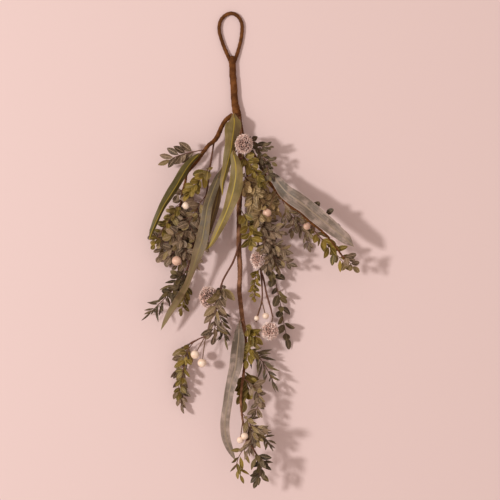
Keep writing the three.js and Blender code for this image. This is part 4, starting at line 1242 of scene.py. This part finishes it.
def fit_leaf(owner, root, pose, margin):
    """The first bend of the pose that has room, as a leaf, or None."""
    number = NAMES.index(owner)
    near = neighbours(root, number)
    for scale, pitch, yaw in BENDS:
        heading = pose["heading"] + math.radians(yaw)
        axes = leaf_axes(heading, pose["pitch"] + math.radians(pitch), pose["roll"])
        length, width = pose["length"] * scale, pose["width"] * scale
        points = leaf_samples(root, axes, length, width, pose["curl"])
        if has_room(near, number, points, margin):
            take(owner, points, margin)
            start = root + axes[0] * OFF_AXIS
            return dict(root=start, axes=axes, length=length, width=width, curl=pose["curl"])
    return None


def direction(places, u):
    """A twig's heading in the floor's plane, and 0.6 of its climb, which its leaves follow."""
    tangent = tangent_at(places, u)[0]
    return math.atan2(tangent[1], tangent[0]), 0.6 * math.asin(tangent[2])


def on_twig(places, u):
    """A point on a twig that runs straight between its stations."""
    stations = (len(places) - 1) * TWIG_STEPS
    before = min(int(u * stations), stations - 1)
    start, end = curve_at(places, [before / stations, (before + 1) / stations])
    return start + (end - start) * (u * stations - before)


def pairs_of_leaves(name, sprig, route):
    """Opposite pairs along the twig and one leaf at its tip, smaller towards the tip.

    Each leaf draws five numbers: spread, pitch, roll, length and curl. Angles are in degrees.
    """
    kind, size = LEAF_KINDS[sprig["leaf"]], sprig["size"]
    draw, pairs, leaves = random_from(sprig["seed"]), sprig["pairs"], []
    for i in range(1, 2 * pairs + 2):
        way = 0 if i > 2 * pairs else 2 * (i % 2) - 1
        u = 0.1 + 0.9 * (math.ceil(i / 2) + SUB_OPPOSITE * way) / (pairs + 1)
        a, b, c, d, e = (draw() for _ in range(5))
        heading, climb = direction(route, min(u, 0.98))
        young = 1.08 - 0.3 * u
        pose = dict(
            heading=heading - way * math.radians(kind["spread"] + 44 * (a - 0.5)),
            pitch=math.radians(-22 + 66 * b) + climb,
            roll=math.radians(100 * (c - 0.5)),
            length=kind["length"] * size * young * (0.78 + 0.44 * d),
            width=kind["width"] * size * young,
            curl=0.02 + 0.14 * e,
        )
        leaves.append(fit_leaf(name, on_twig(route, min(u, 0.98)), pose, MARGIN))
    return [leaf for leaf in leaves if leaf]


# %% Growing all sprigs
def take_everything_but_leaves():
    take_route("hanging_loop", LOOP, [WIRE, WIRE])
    take_route("hanging_loop", HANDLE_ROUTE, HANDLE)
    for name, branch in BRANCHES.items():
        take_route(name, branch_route(branch), branch["radii"])
        if branch["fork"]:
            take_route(name, branch["fork"], branch["radii"])
    for name, ribbon in RIBBONS.items():
        take_ribbon(name, ribbon["rows"], ribbon["fold"])
        take_route(name, ribbon_stalk(ribbon), [STALK, STALK])
    for name, head in HEADS.items():
        take(name, head["centre"], max(head["size"]) - 1)
        take_route(name, head_stalk(head), [STALK, STALK])
    for name in BERRIES:
        for radius, route in berry_stalks(name):
            take(name, route[2], radius)
            take_route(name, route, [STALK, STALK])


def grow_sprigs():
    routes = {
        name: stem_route(sprig["route"], TWIG[0], sprig["on"]) for name, sprig in SPRIGS.items()
    }
    for name, route in routes.items():
        take_route(name, route, [TWIG[0] + 0.6, TWIG[1] + 0.6], True)
    leaves = {name: pairs_of_leaves(name, SPRIGS[name], route) for name, route in routes.items()}
    return routes, leaves


take_everything_but_leaves()
routes, leaves = grow_sprigs()
print("leaves with a solid:", sum(map(len, leaves.values())))

# %% [markdown]
# ## Side shoots and young leaves
#
# The solids hold the main leaves only, to stay light. The real sprigs are bushier.
# Short side shoots leave each twig in turn on its two sides and carry smaller leaves,
# and single young leaves stand steep between the pairs. Both are placed by the same
# test as the main leaves, with less room, so they fill the gaps and hardly touch.

# %% Side shoots and young leaves
YOUNG_MARGIN = 0.8
SHOOT = (0.5, 0.32)  # a shoot's radius at its root and at its tip
SHOOT_SPACING = 15
SHOOT_MARGIN, SHOOT_ROOM = 0.9, 0.6
BUSHY = [
    "sprig_" + name
    for name in (
        "left_back", "left_middle", "left_low", "left_outer", "left_dark", "crown_dark",
        "crown_grey", "crown_back", "column", "column_front", "right_under", "bottom_grey",
    )
]
AIRY = ["sprig_upper_left", "sprig_right_upper", "sprig_right_tip", "sprig_bottom_yellow"]


def try_leaf(name, root, twig, kind, size, turns, draws):
    """A small leaf at a root: its heading and pitch are turned from its twig's by turns."""
    b, c, d, e = draws
    pose = dict(
        heading=twig[0] + math.radians(turns[0]),
        pitch=math.radians(turns[1] + 34 * (b - 0.5)) + twig[1],
        roll=math.radians(110 * (c - 0.5)),
        length=kind["length"] * size * (0.8 + 0.4 * d),
        width=kind["width"] * size * (0.85 + 0.3 * d),
        curl=0.03 + 0.18 * e,
    )
    return fit_leaf(name, root, pose, YOUNG_MARGIN)


def fit_shoot(name, root, heading, pitch, reach):
    """A short twig that arches out and sinks at its tip, or None where it has no room."""
    number = NAMES.index(name)
    near = neighbours(root, number)
    for lift in (0, 18, -18, 36):
        for yaw in (0, 22, -22):
            along = leaf_axes(heading + math.radians(yaw), pitch + math.radians(lift), 0)[0]
            middle, tip = root + along * reach * 0.5, root + along * reach
            shoot = [root, middle + (0, 0, 1.2), tip - (0, 0, 1.0)]
            points = curve_at(shoot, np.linspace(0.3, 1, 8))
            if has_room(near, number, points, SHOOT_MARGIN):
                take(name, points, SHOOT_ROOM, True)
                return shoot
    return None


def side_shoots(name, sprig, route):
    """Shoots left and right in turn, each with pairs of leaves and one at its tip."""
    kind, size = LEAF_KINDS[sprig["leaf"]], sprig["size"]
    draw, shoots, small = random_from(sprig["seed"] + 900), [], []
    count = max(2, round(spline_length(route) / SHOOT_SPACING))
    for i in range(count):
        u = 0.14 + 0.74 * (i + 0.5) / count
        way = 2 * (i % 2) - 1
        a, b, c = (draw() for _ in range(3))
        heading, climb = direction(route, u)
        heading = heading + way * math.radians(24 + 30 * a)
        pitch = math.radians(-14 + 50 * b) + climb
        reach = kind["length"] * size * (0.9 + 0.5 * c)
        shoot = fit_shoot(name, on_twig(route, u), heading, pitch, reach)
        pairs = max(2, int(reach / 8))
        for j in range(2 * pairs + 1):
            place = min(0.3 + 0.7 * (j // 2 + 0.5) / pairs, 0.99)
            side = 0 if j == 2 * pairs else 2 * (j % 2) - 1
            draws = [draw() for _ in range(5)]
            if shoot:
                turns = (side * (kind["spread"] + 40 * (draws[0] - 0.5)), 8)
                root, twig = curve_at(shoot, place)[0], direction(shoot, place)
                small.append(try_leaf(name, root, twig, kind, size * 0.74, turns, draws[1:]))
        if shoot:
            shoots.append(shoot)
    return shoots, [leaf for leaf in small if leaf]


def young_leaves(name, sprig, route):
    """Single leaves half way between the pairs, steep above and below the twig."""
    kind, size = LEAF_KINDS[sprig["leaf"]], sprig["size"]
    draw, young = random_from(sprig["seed"] + 500), []
    count = 0 if name in AIRY else 2 * sprig["pairs"]
    for i in range(count):
        u = 0.1 + 0.88 * (i + 0.5) / count
        a, *draws = (draw() for _ in range(5))
        turns = (120 * (a - 0.5), (52, -34, 26)[i % 3])
        root, twig = on_twig(route, u), direction(route, u)
        young.append(try_leaf(name, root, twig, kind, size * 0.78, turns, draws))
    return [leaf for leaf in young if leaf]


shoots = {}
for name, sprig in SPRIGS.items():
    shoots[name], small = side_shoots(name, sprig, routes[name]) if name in BUSHY else ([], [])
    leaves[name] += small
for name, sprig in SPRIGS.items():
    leaves[name] += young_leaves(name, sprig, routes[name])
print("side shoots:", sum(map(len, shoots.values())))
print("leaves in all:", sum(map(len, leaves.values())))

# %% [markdown]
# ## The shape of a leaf
#
# Every leaf of a sprig goes through one function as an array: the leaf's number, its
# station along, the corner round its section. What makes the kinds differ is only an
# outline: how its half width grows and falls between the stalk and the tip. A power
# inside the sine moves the broadest place, and a power outside rounds or sharpens the
# tip.

# %% Leaf skins
# The powers inside and outside the sine that make each kind's outline.
OUTLINES = dict(
    round=(1.08, 0.56), oval=(1.0, 0.78), long=(1.0, 0.85),
    broad=(1.12, 0.62), small=(1.0, 0.70), narrow=(0.85, 0.9),
)
ALONG = np.array([0.0, 0.09, 0.16, 0.30, 0.48, 0.66, 0.82, 0.93])  # stations of a leaf
PETIOLE = 0.09  # the stalk's share of the length
STALK_SHARE = 0.07  # the stalk's width as a share of the leaf's
BLADE = 0.17  # half the thickness of a blade near its broadest place


def leaf_skins(leaves, outline, seed):
    """Closed thin blades. t runs along from 0 to 1, s across from -1 to 1.

    Half width = W / 2 * sin(pi t'^p)^q, where t' is t past the petiole. Height out of
    the face = half width * (cup |s| - 0.1) - curl L t^2, and the blade twists about its
    midrib by a small angle that grows with t.
    """
    draw = np.random.default_rng(seed)
    n = len(leaves)
    p, q = outline
    t = ALONG
    past = np.clip((t - PETIOLE) / (1 - PETIOLE), 0, 1)
    half = np.maximum(np.sin(np.pi * past**p), 0) ** q
    half = np.where(t <= PETIOLE, STALK_SHARE, np.maximum(half, STALK_SHARE))[None, :, None]
    t = t[None, :, None]
    s = np.array([1, 0.55, 0, -0.55, -1, -0.55, 0, 0.55])
    layer = np.array([0, 1, 1, 1, 0, -1, -1, -1])
    root = np.array([leaf["root"] for leaf in leaves])[:, None, None]
    axes = np.array([leaf["axes"] for leaf in leaves])
    along, side, face = (axes[:, k][:, None, None] for k in range(3))
    sizes = np.array([[leaf["length"], leaf["width"], leaf["curl"]] for leaf in leaves])
    length, width, curl = (sizes[:, k, None, None] for k in range(3))
    cup = draw.uniform(0.08, 0.34, (n, 1, 1))
    twist = np.radians(draw.uniform(-28, 28, (n, 1, 1))) * t
    wave = draw.uniform(-0.10, 0.10, (n, 1, 1)) * np.sin(7 * t)
    reach = width / 2 * half * s
    thick = BLADE * layer * (0.35 + half)
    rise = np.abs(reach) * (cup + wave * np.sign(s)) + thick
    level = reach * np.cos(twist) - rise * np.sin(twist)
    lifted = reach * np.sin(twist) + rise * np.cos(twist) - curl * length * t**2
    forward = length * t * np.ones_like(reach)
    rings = root + forward[..., None] * along + level[..., None] * side + lifted[..., None] * face
    start = root[:, 0, 0]
    end = start + (length * along[:, :, 0])[:, 0] - (curl * length * face[:, :, 0])[:, 0]
    tint = draw.uniform(0, 1, (n, 1, 1))
    marks = np.stack(np.broadcast_arrays(t, s[None, None], tint), -1)
    return closed_skins(rings, start, end, marks)


MOSSY = ["sprig_crown_grey", "sprig_crown_back"]


def make_sprig(name, sprig, seed):
    blades = leaf_skins(leaves[name], OUTLINES[sprig["leaf"]], seed)
    radii = [TWIG[0] * 0.85, TWIG[1] * 0.8]
    twigs = [stem_skin(routes[name], radii, 8, 1.4, lump=0.09, seed=seed)]
    twigs += [stem_skin(shoot, SHOOT, 6, 2.2, lump=0.04, seed=seed) for shoot in shoots[name]]
    finish = "mossy" if name in MOSSY else sprig["finish"]
    finishes = [FINISHES[finish]] + [FINISHES["redBark"]] * len(twigs)
    return add_piece(name, [blades, *twigs], finishes)


for seed, (name, sprig) in enumerate(SPRIGS.items()):
    make_sprig(name, sprig, 100 + seed)
print("sprigs:", len(SPRIGS))
